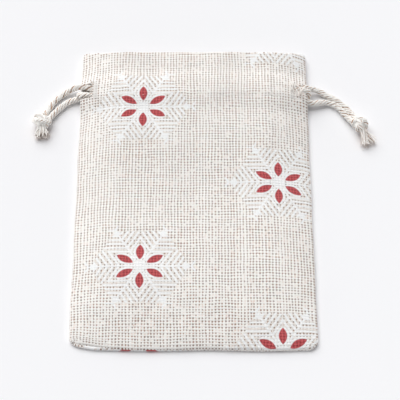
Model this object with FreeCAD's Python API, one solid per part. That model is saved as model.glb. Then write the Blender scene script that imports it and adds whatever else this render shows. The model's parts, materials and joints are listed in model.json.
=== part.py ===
import FreeCAD, Part
import math
import os

# A small fabric gift sack lying flat on its back, closed by two drawstrings.
# Millimetres. X runs across the sack, Y from its bottom to its mouth, Z up from
# the surface that it lies on. The origin is under the middle of the sack.

# --- driving dimensions -------------------------------------------------------
WIDTH = 100.0
LENGTH = 140.0
CLOTH = 0.4                 # thickness of one layer of cloth
CORD_D = 2.2
THREAD_D = 0.3

MOUTH_Y = LENGTH / 2
BOTTOM_Y = -LENGTH / 2
CASING_Y = 47.5             # middle of the drawstring channel
CHANNEL_FLAT = 1.8          # half of the channel's full-height width
CHANNEL_HALF = 4.0          # half of its width from stitch row to stitch row
CHANNEL_CLEAR = 2.6         # height inside the channel
CHANNEL_SIDE_CLEAR = 1.2    # more of it where the front cloth slopes to its sides
LAYER_GAP = 0.12            # air between a panel and its turned-in hem
HEM_END_Y = 42.6            # where the hem that forms the channel ends
STITCH_LOW_Y = CASING_Y - CHANNEL_HALF + 0.1
STITCH_HIGH_Y = CASING_Y + CHANNEL_HALF - 0.1

SLOT_X = 44.5               # the sides are open from here outwards for the cords
SLOT_LOW_Y = 44.2
SLOT_HIGH_Y = 51.7
CORD_SPACING = 2.6          # between the two cords in one channel

EDGE_Z = 2.0                # height of the front cloth at its side edges
HEADER_EDGE_EXTRA = 0.7     # more at the double cloth near the mouth
SIDE_RISE = 22.0            # width over which the front cloth rises from an edge
BOTTOM_RISE = 40.0
RISE_POWER = 0.8
BODY_Z = 6.4                # height of the front cloth over the sack's middle
HEADER_Z = 9.75             # and near the mouth
CASING_EXTRA_Z = 1.4        # how far the filled channel stands above that
CASING_SIDE_EXTRA_Z = 1.7   # and further at the sack's sides
FRONT_HALF_X = 49.8
FRONT_BOTTOM_Y = -69.6
VIEW_LEAN = 0.49            # the mouth's edge draws back by this much of its rise
CORNER_R = 4.0

SEAM_WIDTH = 5.3            # the cut edges turned inside the sack
SEAM_THICK = 0.8
SEAM_X = 48.9               # outer edge of the right seam's turned-in cloth
SEAM_Y = -68.4
SEAM_TOP_Y = 42.2           # the right seam ends below the channel
STITCH_PITCH = 2.6
STITCH_LENGTH = 1.9

os.makedirs("parts", exist_ok=True)


def V(x, y, z):
    return FreeCAD.Vector(x, y, z)


def smooth(t):
    t = min(1.0, max(0.0, t))
    return t * t * (3 - 2 * t)


def save(name, shape):
    shape.exportStep("parts/" + name + ".step")
    print(name, "valid", shape.isValid(), "volume", round(shape.Volume, 2))


# --- the cloth's heights ------------------------------------------------------
# soft waves of the mouth's edge: place along X, half width, height
WAVES = [(-42, 8, 0.2), (-22, 9, -0.45), (9, 6, 0.55), (24, 6, -0.55), (44, 5, 0.4)]


def channel(y):
    """1 in the drawstring channel, 0 beyond its stitch rows."""
    off = abs(y - CASING_Y)
    if off >= CHANNEL_HALF:
        return 0.0
    if off <= CHANNEL_FLAT:
        return 1.0
    return math.cos(math.pi / 2 * (off - CHANNEL_FLAT) / (CHANNEL_HALF - CHANNEL_FLAT)) ** 2


def rise(distance, width):
    return math.sin(math.pi / 2 * min(1.0, max(0.0, distance) / width)) ** RISE_POWER


def front_top(x, y):
    """Height of the front cloth's outer side."""
    from_side = FRONT_HALF_X - abs(x)
    from_bottom = y - FRONT_BOTTOM_Y
    header = smooth((y - 34) / 8)
    nearest = min(from_side, from_bottom)
    curl = 1.05 * math.exp(-nearest / 0.45) * (1 - header)
    crown = BODY_Z + (HEADER_Z - BODY_Z) * smooth((y + 8) / 50)
    side_rise = rise(from_side, SIDE_RISE)
    edge = EDGE_Z - curl + HEADER_EDGE_EXTRA * header
    height = edge + (crown - EDGE_Z) * side_rise * rise(from_bottom, BOTTOM_RISE)
    height -= HEADER_EDGE_EXTRA * header * side_rise
    wave = sum(h * math.exp(-((x - at) / half) ** 2) for at, half, h in WAVES)
    near_mouth = smooth((y - 20) / 50)
    hump = CASING_EXTRA_Z + CASING_SIDE_EXTRA_Z * (1 - side_rise)
    return height + hump * channel(y) + wave * near_mouth


def front_clear(x):
    """Height inside the front cloth's channel."""
    return CHANNEL_CLEAR + CHANNEL_SIDE_CLEAR * (1 - rise(FRONT_HALF_X - abs(x), SIDE_RISE))


def mouth_edge_y(x):
    """The front cloth draws back from the mouth as far as it stands up."""
    return MOUTH_Y - VIEW_LEAN * (front_top(x, MOUTH_Y) - EDGE_Z)


# --- solids from a folded sheet ----------------------------------------------
def clamped_knots(count, degree=3):
    inner = count - degree
    knots = [i / inner for i in range(inner + 1)]
    mults = [degree + 1] + [1] * (inner - 1) + [degree + 1]
    return knots, mults


def spline_face(poles):
    """A face over a pole grid; a grid of two rows is straight from one to the other."""
    across = 1 if len(poles) == 2 else 3
    u_knots, u_mults = clamped_knots(len(poles), across)
    v_knots, v_mults = clamped_knots(len(poles[0]))
    surface = Part.BSplineSurface()
    surface.buildFromPolesMultsKnots(poles, u_mults, v_mults, u_knots, v_knots, False, False, across, 3)
    return surface.toShape()


def sheet_solid(outer, inner):
    """A closed solid between two pole grids of the same size."""
    faces = [spline_face(outer), spline_face(inner)]
    for at in (0, -1):
        faces.append(spline_face([outer[at], inner[at]]))
        faces.append(spline_face([[row[at] for row in outer], [row[at] for row in inner]]))
    shell = Part.makeShell(faces)
    shell.sewShape()
    solid = Part.makeSolid(shell)
    if solid.Volume < 0:
        solid.reverse()
    return solid


def front_columns():
    """Places along X, close together at the side edges."""
    edge = [0.0, 0.25, 0.6, 1.0, 1.6, 2.4, 3.4, 4.6, 6.0, 7.7, 9.7, 12, 14.6, 17.5, 20.6, 24, 27.6, 31.4, 35.4, 39.5, 43.7]
    left = [-FRONT_HALF_X + d for d in edge]
    return left + [-1.9, 1.9] + [-x for x in reversed(left)]


def front_rows():
    """Places up the front cloth to the mouth's fold, close together where it bends."""
    rows = [0.0, 0.25, 0.6, 1.0, 1.6, 2.6, 4.2, 6.5, 9.5, 13, 17.5, 23, 29, 36, 44, 53, 62, 71, 80, 88, 95, 101, 106]
    rows = [FRONT_BOTTOM_Y + d for d in rows]
    first, last, count = 38.8, 54.8, 20
    rows += [first + (last - first) * i / count for i in range(count + 1)]
    return rows


def front_grids():
    outer, inner = [], []
    fold_turns = 6
    for x in front_columns():
        top_y = mouth_edge_y(x)
        body = front_rows()
        header = [body[-1] + (top_y - 1.2 - body[-1]) * i / 5 for i in range(1, 6)]
        hem = [y for y in reversed(body + header) if y >= HEM_END_Y]
        out, inn = [], []
        for y in body + header:
            z = front_top(x, y)
            out.append(V(x, y, z))
            inn.append(V(x, y, z - CLOTH))
        # the fold at the mouth, a half turn that hangs on the outer layer's end
        y0, z0 = header[-1], front_top(x, header[-1])
        open_gap = LAYER_GAP + 0.35
        radius = CLOTH + open_gap / 2
        for i in range(1, fold_turns):
            turn = math.pi * i / fold_turns
            reach, drop = math.sin(turn), radius - radius * math.cos(turn)
            out.append(V(x, y0 + radius * 1.25 * reach, z0 - drop))
            drop = CLOTH + (radius - CLOTH) * (1 - math.cos(turn))
            inn.append(V(x, y0 + (radius * 1.25 - CLOTH) * reach, z0 - drop))
        for y in hem:
            z = front_top(x, y)
            near_fold = 0.35 * smooth((y - y0 + 6) / 6)
            gap = LAYER_GAP + near_fold + (front_clear(x) - LAYER_GAP) * channel(y)
            out.append(V(x, y, z - 2 * CLOTH - gap))
            inn.append(V(x, y, z - CLOTH - gap))
        outer.append(out)
        inner.append(inn)
    return outer, inner


def side_slots(height):
    """The two gaps at the channel's ends, where the cords come out."""
    depth = SLOT_HIGH_Y - SLOT_LOW_Y
    right = Part.makeBox(20, depth, height + 2, V(SLOT_X, SLOT_LOW_Y, -1))
    left = Part.makeBox(20, depth, height + 2, V(-SLOT_X - 20, SLOT_LOW_Y, -1))
    return right, left


def round_corners(solid, half_x, low_y):
    """Cuts the two bottom corners round."""
    for side in (-1, 1):
        corner = Part.makeBox(CORNER_R + 5, CORNER_R + 5, 40, V(0, 0, -1))
        corner = corner.cut(Part.makeCylinder(CORNER_R, 42, V(CORNER_R + 5, CORNER_R + 5, -2)))
        if side > 0:
            corner = corner.mirror(V(0, 0, 0), V(1, 0, 0))
        corner.translate(V(side * (half_x + 5), low_y - 5, 0))
        solid = solid.cut(corner)
    return solid


def make_front_panel():
    outer, inner = front_grids()
    solid = sheet_solid(outer, inner)
    for slot in side_slots(12):
        solid = solid.cut(slot)
    return round_corners(solid, FRONT_HALF_X, FRONT_BOTTOM_Y)


def back_profile():
    """Outline of the back cloth and its turned-in hem, seen along X."""
    fold_r = CLOTH + 0.1
    fold_y = MOUTH_Y - fold_r
    steps = 34

    def hem_line(lift):
        points = []
        for i in range(steps + 1):
            y = fold_y - 3 + (HEM_END_Y - fold_y + 3) * i / steps
            near_fold = (2 * fold_r - 2 * CLOTH - LAYER_GAP) * smooth((y - fold_y + 10) / 7)
            points.append(V(0, y, lift + LAYER_GAP + near_fold + (CHANNEL_CLEAR - LAYER_GAP) * channel(y)))
        return points

    lower, upper = hem_line(CLOTH), hem_line(2 * CLOTH)
    lower_curve = Part.BSplineCurve()
    lower_curve.interpolate(lower)
    upper_curve = Part.BSplineCurve()
    upper_curve.interpolate(upper)
    outside = Part.Arc(V(0, fold_y, 0), V(0, MOUTH_Y, fold_r), V(0, fold_y, 2 * fold_r))
    inside_r = fold_r - CLOTH
    inside = Part.Arc(V(0, fold_y, CLOTH), V(0, fold_y + inside_r, fold_r), V(0, fold_y, 2 * fold_r - CLOTH))
    edges = [
        Part.LineSegment(V(0, BOTTOM_Y, 0), V(0, fold_y, 0)),
        outside,
        Part.LineSegment(V(0, fold_y, 2 * fold_r), upper[0]),
        upper_curve,
        Part.LineSegment(upper[-1], lower[-1]),
        lower_curve,
        Part.LineSegment(lower[0], V(0, fold_y, 2 * fold_r - CLOTH)),
        inside,
        Part.LineSegment(V(0, fold_y, CLOTH), V(0, BOTTOM_Y, CLOTH)),
        Part.LineSegment(V(0, BOTTOM_Y, CLOTH), V(0, BOTTOM_Y, 0)),
    ]
    return Part.Wire(Part.__sortEdges__([e.toShape() for e in edges]))


def make_back_panel():
    face = Part.Face(back_profile())
    face.translate(V(-WIDTH / 2, 0, 0))
    solid = face.extrude(V(WIDTH, 0, 0))
    for slot in side_slots(12):
        solid = solid.cut(slot)
    return round_corners(solid, WIDTH / 2, BOTTOM_Y)


# --- seams and threads --------------------------------------------------------
SEAM_Z = CLOTH + LAYER_GAP


def make_right_allowance():
    low = SEAM_Y + SEAM_WIDTH + 0.4
    return Part.makeBox(SEAM_WIDTH, SEAM_TOP_Y - low, SEAM_THICK, V(SEAM_X - SEAM_WIDTH, low, SEAM_Z))


def make_bottom_allowance():
    left = -WIDTH / 2 + 3.5
    return Part.makeBox(SEAM_X - 3 - left, SEAM_WIDTH, SEAM_THICK, V(left, SEAM_Y, SEAM_Z))


def thread_between(a, b):
    return Part.makeCylinder(THREAD_D / 2, (b - a).Length, a, b - a)


def stitch_row(start, end, place):
    """Separate stitches from start to end, each laid where place(t) says."""
    count = int(abs(end - start) / STITCH_PITCH)
    step = (end - start) / count
    part = STITCH_LENGTH / STITCH_PITCH
    ends = [(start + step * i, start + step * (i + part)) for i in range(count)]
    return Part.makeCompound([thread_between(place(a), place(b)) for a, b in ends])


def casing_row(y, front):
    if front:
        return stitch_row(-SLOT_X + 1.5, SLOT_X - 1.5, lambda x: V(x, y, front_top(x, y)))
    return stitch_row(-SLOT_X + 1.5, SLOT_X - 1.5, lambda x: V(x, y, 2 * CLOTH + LAYER_GAP))


def overlock(start, end, place):
    """Slanting threads over a cut edge, one beside the other."""
    count = int(abs(end - start) / 1.7)
    step = (end - start) / count
    spans = [(start + step * i, start + step * (i + 0.7)) for i in range(count)]
    return Part.makeCompound([thread_between(place(a, 0.5), place(b, 3.0)) for a, b in spans])


def bar_tack(side, front):
    """Threads that bind the channel's end, side by side and following its hump."""
    threads = []
    for k in range(4):
        x = side * (SLOT_X - 0.5 - 0.45 * k)
        rows = [CASING_Y + off for off in (-4.4, -3.3, -2.4, -1.2, 0.0, 1.2, 2.4, 3.3, 4.4)]
        if front:
            points = [V(x, y, front_top(x, y) + 0.05) for y in rows]
        else:
            lift = 2 * CLOTH + LAYER_GAP + 0.05
            points = [V(x, y, lift + (CHANNEL_CLEAR - LAYER_GAP) * channel(y)) for y in rows]
        threads += [thread_between(a, b) for a, b in zip(points, points[1:])]
    solid = threads[0]
    return solid.fuse(threads[1:])


# --- cords --------------------------------------------------------------------
def front_channel_z(x):
    return front_top(x, CASING_Y) - CLOTH - front_clear(x) / 2


BACK_CHANNEL_Z = CLOTH + CHANNEL_CLEAR / 2
HIGH_Y = CASING_Y + CORD_SPACING / 2
LOW_Y = CASING_Y - CORD_SPACING / 2
BOW = 0.25


def front_run(side, y, away):
    """Points through the front channel, from the tail's side to the loop's."""
    places = [-43, -39, -35, -31, -26.5, -21, -14, -7, 0, 7, 14, 21, 26.5, 31, 35, 39, 42.5]
    return [V(-side * x, y + away * BOW * (1 - (x / 43) ** 2), front_channel_z(-side * x)) for x in places]


def back_run(side, y, away):
    places = [43, 38, 30, 20, 10, 0, -10, -20, -30, -38, -43]
    return [V(-side * x, y + away * BOW * (1 - (x / 43) ** 2), BACK_CHANNEL_Z) for x in places]


def side_loop(side, front_y, back_y):
    """The turn round the edge of the sack, at the side away from the tails."""
    z0 = front_channel_z(-side * SLOT_X) - 0.3
    radius = math.hypot(z0 - BACK_CHANNEL_Z, front_y - back_y) / 2
    reach = radius * math.tan(math.pi / 8)
    centre_x = 48.4
    points = []
    for out, along in ((reach, 1), (radius, reach / radius), (radius, -reach / radius), (reach, -1)):
        share = 0.5 - along / 2
        y = front_y + (back_y - front_y) * share
        z = z0 + (BACK_CHANNEL_Z - z0) * share
        points.append(V(-side * (centre_x + out), y, z))
    return points


LEFT, RIGHT = -1, 1
# Free ends, from the channel's mouth to the knot. They leave the slot, come down
# onto the surface and lie on it, a radius above it.
LEFT_FRONT_TAIL = [
    V(-47.4, 49.8, 4.9),
    V(-51.2, 50.5, 3.6),
    V(-54.9, 49.5, 1.9),
    V(-58.4, 47.3, 1.2),
    V(-61.4, 44.2, 1.2),
    V(-63.6, 40.6, 1.4),
    V(-65.7, 37.2, 2.3),
]
LEFT_BACK_TAIL = [
    V(-48.2, 45.9, 1.55),
    V(-52.2, 44.9, 1.2),
    V(-56.0, 43.4, 1.15),
    V(-59.3, 40.6, 1.2),
    V(-61.9, 37.7, 1.5),
    V(-64.0, 35.5, 2.1),
]
RIGHT_BACK_TAIL = [
    V(47.8, 49.4, 1.55),
    V(51.8, 50.7, 1.25),
    V(55.4, 49.9, 1.15),
    V(58.6, 47.0, 1.15),
    V(62.4, 44.6, 1.2),
    V(65.9, 42.0, 1.2),
    V(68.7, 38.9, 1.5),
    V(71.1, 36.6, 2.3),
]
RIGHT_FRONT_TAIL = [
    V(47.6, 45.7, 5.2),
    V(51.3, 45.0, 4.3),
    V(55.2, 43.8, 2.2),
    V(59.2, 43.0, 1.3),
    V(62.8, 41.2, 1.15),
    V(65.6, 38.4, 1.25),
    V(68.6, 34.9, 2.2),
]
LEFT_KNOT = (V(-66.6, 35.0, 2.7), 8.6, 5.4, 5.0, 150)
RIGHT_KNOT = (V(72.0, 34.3, 2.9), 7.4, 6.6, 5.4, -55)
LEFT_TASSEL = (V(-66.6, 35.0, 2.7), V(-66.3, 24.6, 1.9), 1.8, 1.7, 3.6)
RIGHT_TASSEL = (V(72.0, 34.3, 2.9), V(77.0, 22.0, 1.9), 1.9, 1.6, 3.3)


def rounded_path(points):
    """Straight runs joined by tangent arcs, each as large as its runs allow."""
    edges, start, smallest = [], points[0], 1e9
    for before, at, after in zip(points, points[1:], points[2:]):
        room = 0.45 * min((at - before).Length, (after - at).Length)
        back = (before - at).normalize()
        onward = (after - at).normalize()
        half_turn = (math.pi - back.getAngle(onward)) / 2
        radius = room / math.tan(half_turn)
        smallest = min(smallest, radius)
        a, b = at + back * room, at + onward * room
        middle = at + (back + onward).normalize() * (radius / math.cos(half_turn) - radius)
        edges.append(Part.LineSegment(start, a).toShape())
        edges.append(Part.Arc(a, middle, b).toShape())
        start = b
    edges.append(Part.LineSegment(start, points[-1]).toShape())
    return Part.Wire(edges), smallest


def tube(name, points):
    path, smallest = rounded_path(points)
    section = Part.Circle(points[0], points[1] - points[0], CORD_D / 2)
    solid = path.makePipeShell([Part.Wire([section.toShape()])], True, False)
    expected = math.pi * CORD_D ** 2 / 4 * path.Length
    print(name, "length", round(path.Length, 1), "smallest radius", round(smallest, 2),
          "volume ratio", round(solid.Volume / expected, 4))
    return solid


def halfway(a, b):
    return (a + b) * 0.5


def make_cord(side_name, side, front, back, front_tail, back_tail):
    """One drawstring: two free ends and the stretch that the channels hold."""
    run = front_run(side, *front) + side_loop(side, front[0], back[0]) + back_run(side, *back)
    first, last = halfway(run[1], run[2]), halfway(run[-3], run[-2])
    save(side_name + "_cord_in_casing", tube("casing", [first] + run[2:-2] + [last]))
    save(side_name + "_cord_front_tail", tube("front tail", [first, run[1], run[0]] + front_tail))
    save(side_name + "_cord_back_tail", tube("back tail", [last, run[-2], run[-1]] + back_tail))


def make_knot(centre, long, wide, high, turn):
    ball = Part.makeSphere(1.0)
    shape = FreeCAD.Matrix()
    shape.scale(long / 2, wide / 2, high / 2)
    solid = ball.transformGeometry(shape)
    solid.rotate(V(0, 0, 0), V(0, 0, 1), turn)
    solid.translate(centre)
    return solid


def make_tassel(start, end, neck, half_high, half_wide):
    """A brush of frayed ends: round at the knot, wider and flatter at its tip."""
    way = (end - start).normalize()
    sections = []
    for share, a, b in ((0.2, neck, neck), (0.5, half_wide * 0.8, neck), (1.0, half_wide, half_high)):
        ellipse = Part.Ellipse(V(0, 0, 0), max(a, b) + 0.01, min(a, b))
        wire = Part.Wire([ellipse.toShape()])
        across = V(0, 0, 1).cross(way).normalize()
        up = way.cross(across)
        place = FreeCAD.Matrix(
            across.x, up.x, way.x, 0, across.y, up.y, way.y, 0, across.z, up.z, way.z, 0, 0, 0, 0, 1
        )
        wire = wire.transformGeometry(place)
        wire.translate(start + (end - start) * share)
        sections.append(wire)
    return Part.makeLoft(sections, True, False)


def main():
    save("front_panel", make_front_panel())
    save("back_panel", make_back_panel())
    save("right_seam_allowance", make_right_allowance())
    save("bottom_seam_allowance", make_bottom_allowance())

    top = SEAM_Z + SEAM_THICK
    low = SEAM_Y + SEAM_WIDTH + 0.6
    save("right_seam_stitching", stitch_row(low, SEAM_TOP_Y - 0.2, lambda y: V(SEAM_X - 0.8, y, top)))
    save("bottom_seam_stitching", stitch_row(-45.0, 45.0, lambda x: V(x, SEAM_Y + 0.8, top)))
    inner_x = SEAM_X - SEAM_WIDTH
    save("right_overlock_thread", overlock(low, SEAM_TOP_Y - 0.4, lambda y, d: V(inner_x + d, y, top)))
    inner_y = SEAM_Y + SEAM_WIDTH
    save("bottom_overlock_thread", overlock(-45.0, 44.0, lambda x, d: V(x, inner_y - d, top)))

    for name, front in (("front", True), ("back", False)):
        save(name + "_casing_lower_stitching", casing_row(STITCH_LOW_Y, front))
        save(name + "_casing_upper_stitching", casing_row(STITCH_HIGH_Y, front))
        for side_name, side in (("left", LEFT), ("right", RIGHT)):
            save(side_name + "_" + name + "_bar_tack", bar_tack(side, front))

    make_cord("left", LEFT, (HIGH_Y, 1), (LOW_Y, -1), LEFT_FRONT_TAIL, LEFT_BACK_TAIL)
    make_cord("right", RIGHT, (LOW_Y, -1), (HIGH_Y, 1), RIGHT_FRONT_TAIL, RIGHT_BACK_TAIL)
    for name, knot, tassel in (("left", LEFT_KNOT, LEFT_TASSEL), ("right", RIGHT_KNOT, RIGHT_TASSEL)):
        ball = make_knot(*knot)
        save(name + "_cord_knot", ball)
        save(name + "_cord_tassel", make_tassel(*tassel).cut(ball))


main()
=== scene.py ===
"""A small drawstring gift sack of coarse cotton, lying on its back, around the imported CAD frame.

Sizes are in millimetres until a mesh is made. The cloth is one piece: it folds round the left side and is
sewn along the right and the bottom. Its left and right halves bend between the sack and the drawstring
that pulls that side of the mouth.
"""

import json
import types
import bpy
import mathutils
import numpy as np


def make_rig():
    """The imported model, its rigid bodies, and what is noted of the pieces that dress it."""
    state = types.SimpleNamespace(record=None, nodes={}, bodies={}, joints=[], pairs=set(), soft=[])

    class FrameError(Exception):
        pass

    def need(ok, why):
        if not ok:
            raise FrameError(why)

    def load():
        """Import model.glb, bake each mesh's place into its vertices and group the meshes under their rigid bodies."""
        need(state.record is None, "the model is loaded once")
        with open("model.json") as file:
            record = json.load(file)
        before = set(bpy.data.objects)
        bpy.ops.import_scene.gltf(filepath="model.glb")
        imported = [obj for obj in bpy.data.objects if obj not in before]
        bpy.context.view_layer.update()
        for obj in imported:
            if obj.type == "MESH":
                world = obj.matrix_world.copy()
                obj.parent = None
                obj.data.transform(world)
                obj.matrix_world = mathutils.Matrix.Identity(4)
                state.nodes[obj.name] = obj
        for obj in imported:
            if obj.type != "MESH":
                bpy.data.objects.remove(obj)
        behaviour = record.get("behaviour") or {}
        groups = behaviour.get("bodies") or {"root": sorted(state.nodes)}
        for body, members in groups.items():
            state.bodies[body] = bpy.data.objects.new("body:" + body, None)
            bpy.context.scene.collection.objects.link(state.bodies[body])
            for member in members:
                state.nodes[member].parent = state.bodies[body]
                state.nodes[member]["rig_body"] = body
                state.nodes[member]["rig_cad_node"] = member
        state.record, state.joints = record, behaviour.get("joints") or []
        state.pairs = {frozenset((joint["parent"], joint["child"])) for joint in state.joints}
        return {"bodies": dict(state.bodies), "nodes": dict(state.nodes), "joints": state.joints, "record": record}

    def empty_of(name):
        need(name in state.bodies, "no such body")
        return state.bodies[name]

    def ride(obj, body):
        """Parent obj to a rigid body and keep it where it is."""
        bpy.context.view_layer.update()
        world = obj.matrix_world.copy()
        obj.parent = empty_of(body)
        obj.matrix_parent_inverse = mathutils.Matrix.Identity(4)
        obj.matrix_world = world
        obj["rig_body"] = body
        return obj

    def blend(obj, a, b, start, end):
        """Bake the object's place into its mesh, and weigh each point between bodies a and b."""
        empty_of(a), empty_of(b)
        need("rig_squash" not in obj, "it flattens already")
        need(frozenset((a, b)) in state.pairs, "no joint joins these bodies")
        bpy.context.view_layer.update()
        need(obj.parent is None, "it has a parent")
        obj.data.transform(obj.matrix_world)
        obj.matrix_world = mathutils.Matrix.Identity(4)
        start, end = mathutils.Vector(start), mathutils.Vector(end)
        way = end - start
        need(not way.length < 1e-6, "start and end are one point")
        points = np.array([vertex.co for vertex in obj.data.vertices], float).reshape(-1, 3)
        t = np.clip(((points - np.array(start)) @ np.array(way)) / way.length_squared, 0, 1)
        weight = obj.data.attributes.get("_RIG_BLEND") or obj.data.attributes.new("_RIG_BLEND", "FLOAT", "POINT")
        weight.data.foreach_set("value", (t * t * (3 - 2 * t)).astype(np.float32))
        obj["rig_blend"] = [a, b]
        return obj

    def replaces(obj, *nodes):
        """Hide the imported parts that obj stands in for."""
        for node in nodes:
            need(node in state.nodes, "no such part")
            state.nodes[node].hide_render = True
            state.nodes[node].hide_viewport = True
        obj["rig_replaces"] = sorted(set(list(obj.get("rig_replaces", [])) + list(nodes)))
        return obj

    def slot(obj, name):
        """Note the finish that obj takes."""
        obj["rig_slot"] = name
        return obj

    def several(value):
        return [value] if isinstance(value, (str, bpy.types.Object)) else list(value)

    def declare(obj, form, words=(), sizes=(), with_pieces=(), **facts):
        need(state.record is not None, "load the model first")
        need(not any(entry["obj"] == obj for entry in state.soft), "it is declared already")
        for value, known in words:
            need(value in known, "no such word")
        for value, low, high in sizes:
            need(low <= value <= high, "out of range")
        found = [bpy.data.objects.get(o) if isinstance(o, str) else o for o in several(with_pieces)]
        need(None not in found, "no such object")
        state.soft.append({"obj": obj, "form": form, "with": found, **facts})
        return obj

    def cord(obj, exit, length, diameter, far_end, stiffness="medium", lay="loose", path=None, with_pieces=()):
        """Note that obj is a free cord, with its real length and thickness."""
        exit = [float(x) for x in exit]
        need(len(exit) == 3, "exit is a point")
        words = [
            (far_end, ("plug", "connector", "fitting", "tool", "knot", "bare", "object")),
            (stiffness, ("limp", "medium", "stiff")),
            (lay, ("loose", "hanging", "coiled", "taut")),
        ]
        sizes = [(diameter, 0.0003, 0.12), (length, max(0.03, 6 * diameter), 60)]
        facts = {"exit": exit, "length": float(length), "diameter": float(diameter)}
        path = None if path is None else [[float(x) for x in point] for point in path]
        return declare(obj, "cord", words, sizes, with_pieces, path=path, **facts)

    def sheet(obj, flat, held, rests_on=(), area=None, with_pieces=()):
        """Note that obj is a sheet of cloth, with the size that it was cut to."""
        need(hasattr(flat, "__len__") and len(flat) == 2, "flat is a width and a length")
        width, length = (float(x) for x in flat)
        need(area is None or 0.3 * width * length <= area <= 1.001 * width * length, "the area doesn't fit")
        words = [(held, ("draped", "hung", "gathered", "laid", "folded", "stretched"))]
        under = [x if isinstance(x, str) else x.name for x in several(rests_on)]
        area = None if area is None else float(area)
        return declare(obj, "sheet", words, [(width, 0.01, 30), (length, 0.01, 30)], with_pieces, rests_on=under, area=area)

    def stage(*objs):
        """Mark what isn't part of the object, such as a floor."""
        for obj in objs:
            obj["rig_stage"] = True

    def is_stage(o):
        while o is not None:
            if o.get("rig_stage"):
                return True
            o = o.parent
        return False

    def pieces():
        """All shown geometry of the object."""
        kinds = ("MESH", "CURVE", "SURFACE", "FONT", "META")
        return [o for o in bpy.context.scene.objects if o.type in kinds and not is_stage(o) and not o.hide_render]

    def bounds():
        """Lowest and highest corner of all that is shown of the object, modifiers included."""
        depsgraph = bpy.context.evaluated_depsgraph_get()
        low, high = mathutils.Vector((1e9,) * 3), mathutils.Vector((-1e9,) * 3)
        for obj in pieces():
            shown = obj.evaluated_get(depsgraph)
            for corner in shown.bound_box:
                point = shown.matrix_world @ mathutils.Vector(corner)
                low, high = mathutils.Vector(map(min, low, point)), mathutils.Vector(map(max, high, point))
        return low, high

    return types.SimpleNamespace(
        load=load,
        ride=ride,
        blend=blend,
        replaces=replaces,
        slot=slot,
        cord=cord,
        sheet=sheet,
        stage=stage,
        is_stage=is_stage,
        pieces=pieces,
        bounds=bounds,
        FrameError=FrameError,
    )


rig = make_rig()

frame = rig.load()
CAD_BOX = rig.bounds()

import json
import math
from functools import partialmethod

import bpy
import numpy as np
from mathutils import Vector

MM = 0.001

# --- sizes shared with the CAD model -----------------------------------------
CLOTH = 0.4  # thickness
CORD_D = 2.2
THREAD_D = 0.3
HALF_WIDE = 50.0
MOUTH_Y = 70.0
BOTTOM_Y = -70.0
CASING_Y = 47.5  # middle of the drawstring channel
CHANNEL_FLAT = 1.8
CHANNEL_HALF = 4.0
CHANNEL_CLEAR = 2.6
CHANNEL_SIDE_CLEAR = 1.2
LAYER_GAP = 0.12
HEM_END_Y = 42.6
STITCH_LOW_Y = 43.6
STITCH_HIGH_Y = 51.4
SLOT_X = 44.5
SLOT_LOW_Y = 44.2
SLOT_HIGH_Y = 51.7
EDGE_Z = 2.0
HEADER_EDGE_EXTRA = 0.7
SIDE_RISE = 22.0
BOTTOM_RISE = 40.0
RISE_POWER = 0.8
BODY_Z = 6.4
HEADER_Z = 9.75
CASING_EXTRA_Z = 1.4
CASING_SIDE_EXTRA_Z = 1.7
FRONT_HALF_X = 49.8
FRONT_BOTTOM_Y = -69.6
VIEW_LEAN = 0.49  # how far the mouth's edge falls back for each millimetre that it stands up
CORNER_R = 4.0
# soft waves that grow toward the mouth: place, half width and height of each
WAVES = [(-42, 8, 0.2), (-22, 9, -0.45), (9, 6, 0.55), (24, 6, -0.55), (44, 5, 0.4)]
HIGH_Y = CASING_Y + 1.3
LOW_Y = CASING_Y - 1.3
BACK_CHANNEL_Z = CLOTH + CHANNEL_CLEAR / 2
BOW = 0.25  # how far each cord bows outward in the middle of the channel

# --- sizes of the visible cloth ----------------------------------------------
ROLL_R = 0.55  # the seam's rolled edge at the right and the bottom
ROLL_INSIDE = 0.1  # how far the roll lies inside the outline, so that the front comes down over it
FOLD_WIDTH = 1.0  # half width of the fold down the left side
MOUTH_FOLD_R = 0.5  # the fold at the mouth, on the back
MOUTH_ROLL = 0.7  # and on the front, where the cloth turns over more loosely
BODY_STEP = 0.9  # between the columns of the front's mesh
BACK_STEP = 1.0
HEM_HALF_X = 49.2  # the front's hem stops here, short of the right seam
WARP_PITCH = 1.3  # coarser than the real weave, so that its dots show in a small picture
WEFT_PITCH = 1.2

rng = np.random.default_rng(20)


# --- camera, light and floor --------------------------------------------------
VIEW_ELEVATION = math.radians(64)
VIEW_DISTANCE = 0.498
VIEW_AIM = Vector((0.0027, -0.0023, 0.0))
LENS = 105
KEY_FROM = Vector((-0.35, 0.78, 1.0))
KEY_SPREAD = math.radians(60)
KEY_STRENGTH = 2.82


def linear(r, g, b):
    """A colour given as 0 to 255 display values, as the shader wants it."""
    def one(c):
        c /= 255
        return c / 12.92 if c <= 0.04045 else ((c + 0.055) / 1.055) ** 2.4
    return (one(r), one(g), one(b), 1.0)


def add_camera():
    data = bpy.data.cameras.new("camera")
    data.lens = LENS
    data.sensor_width = 36
    data.clip_start = 0.01
    data.clip_end = 20
    camera = bpy.data.objects.new("camera", data)
    back = Vector((0, -math.cos(VIEW_ELEVATION), math.sin(VIEW_ELEVATION)))
    camera.location = VIEW_AIM + back * VIEW_DISTANCE
    camera.rotation_euler = (-back).to_track_quat("-Z", "Y").to_euler()
    bpy.context.scene.collection.objects.link(camera)
    bpy.context.scene.camera = camera


def add_key_light():
    """A broad, even light from far off, so that the floor has no bright patch."""
    data = bpy.data.lights.new("key", "SUN")
    data.angle = KEY_SPREAD
    data.energy = KEY_STRENGTH
    lamp = bpy.data.objects.new("key", data)
    lamp.location = KEY_FROM
    lamp.rotation_euler = (-KEY_FROM).to_track_quat("-Z", "Y").to_euler()
    bpy.context.scene.collection.objects.link(lamp)


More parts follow.
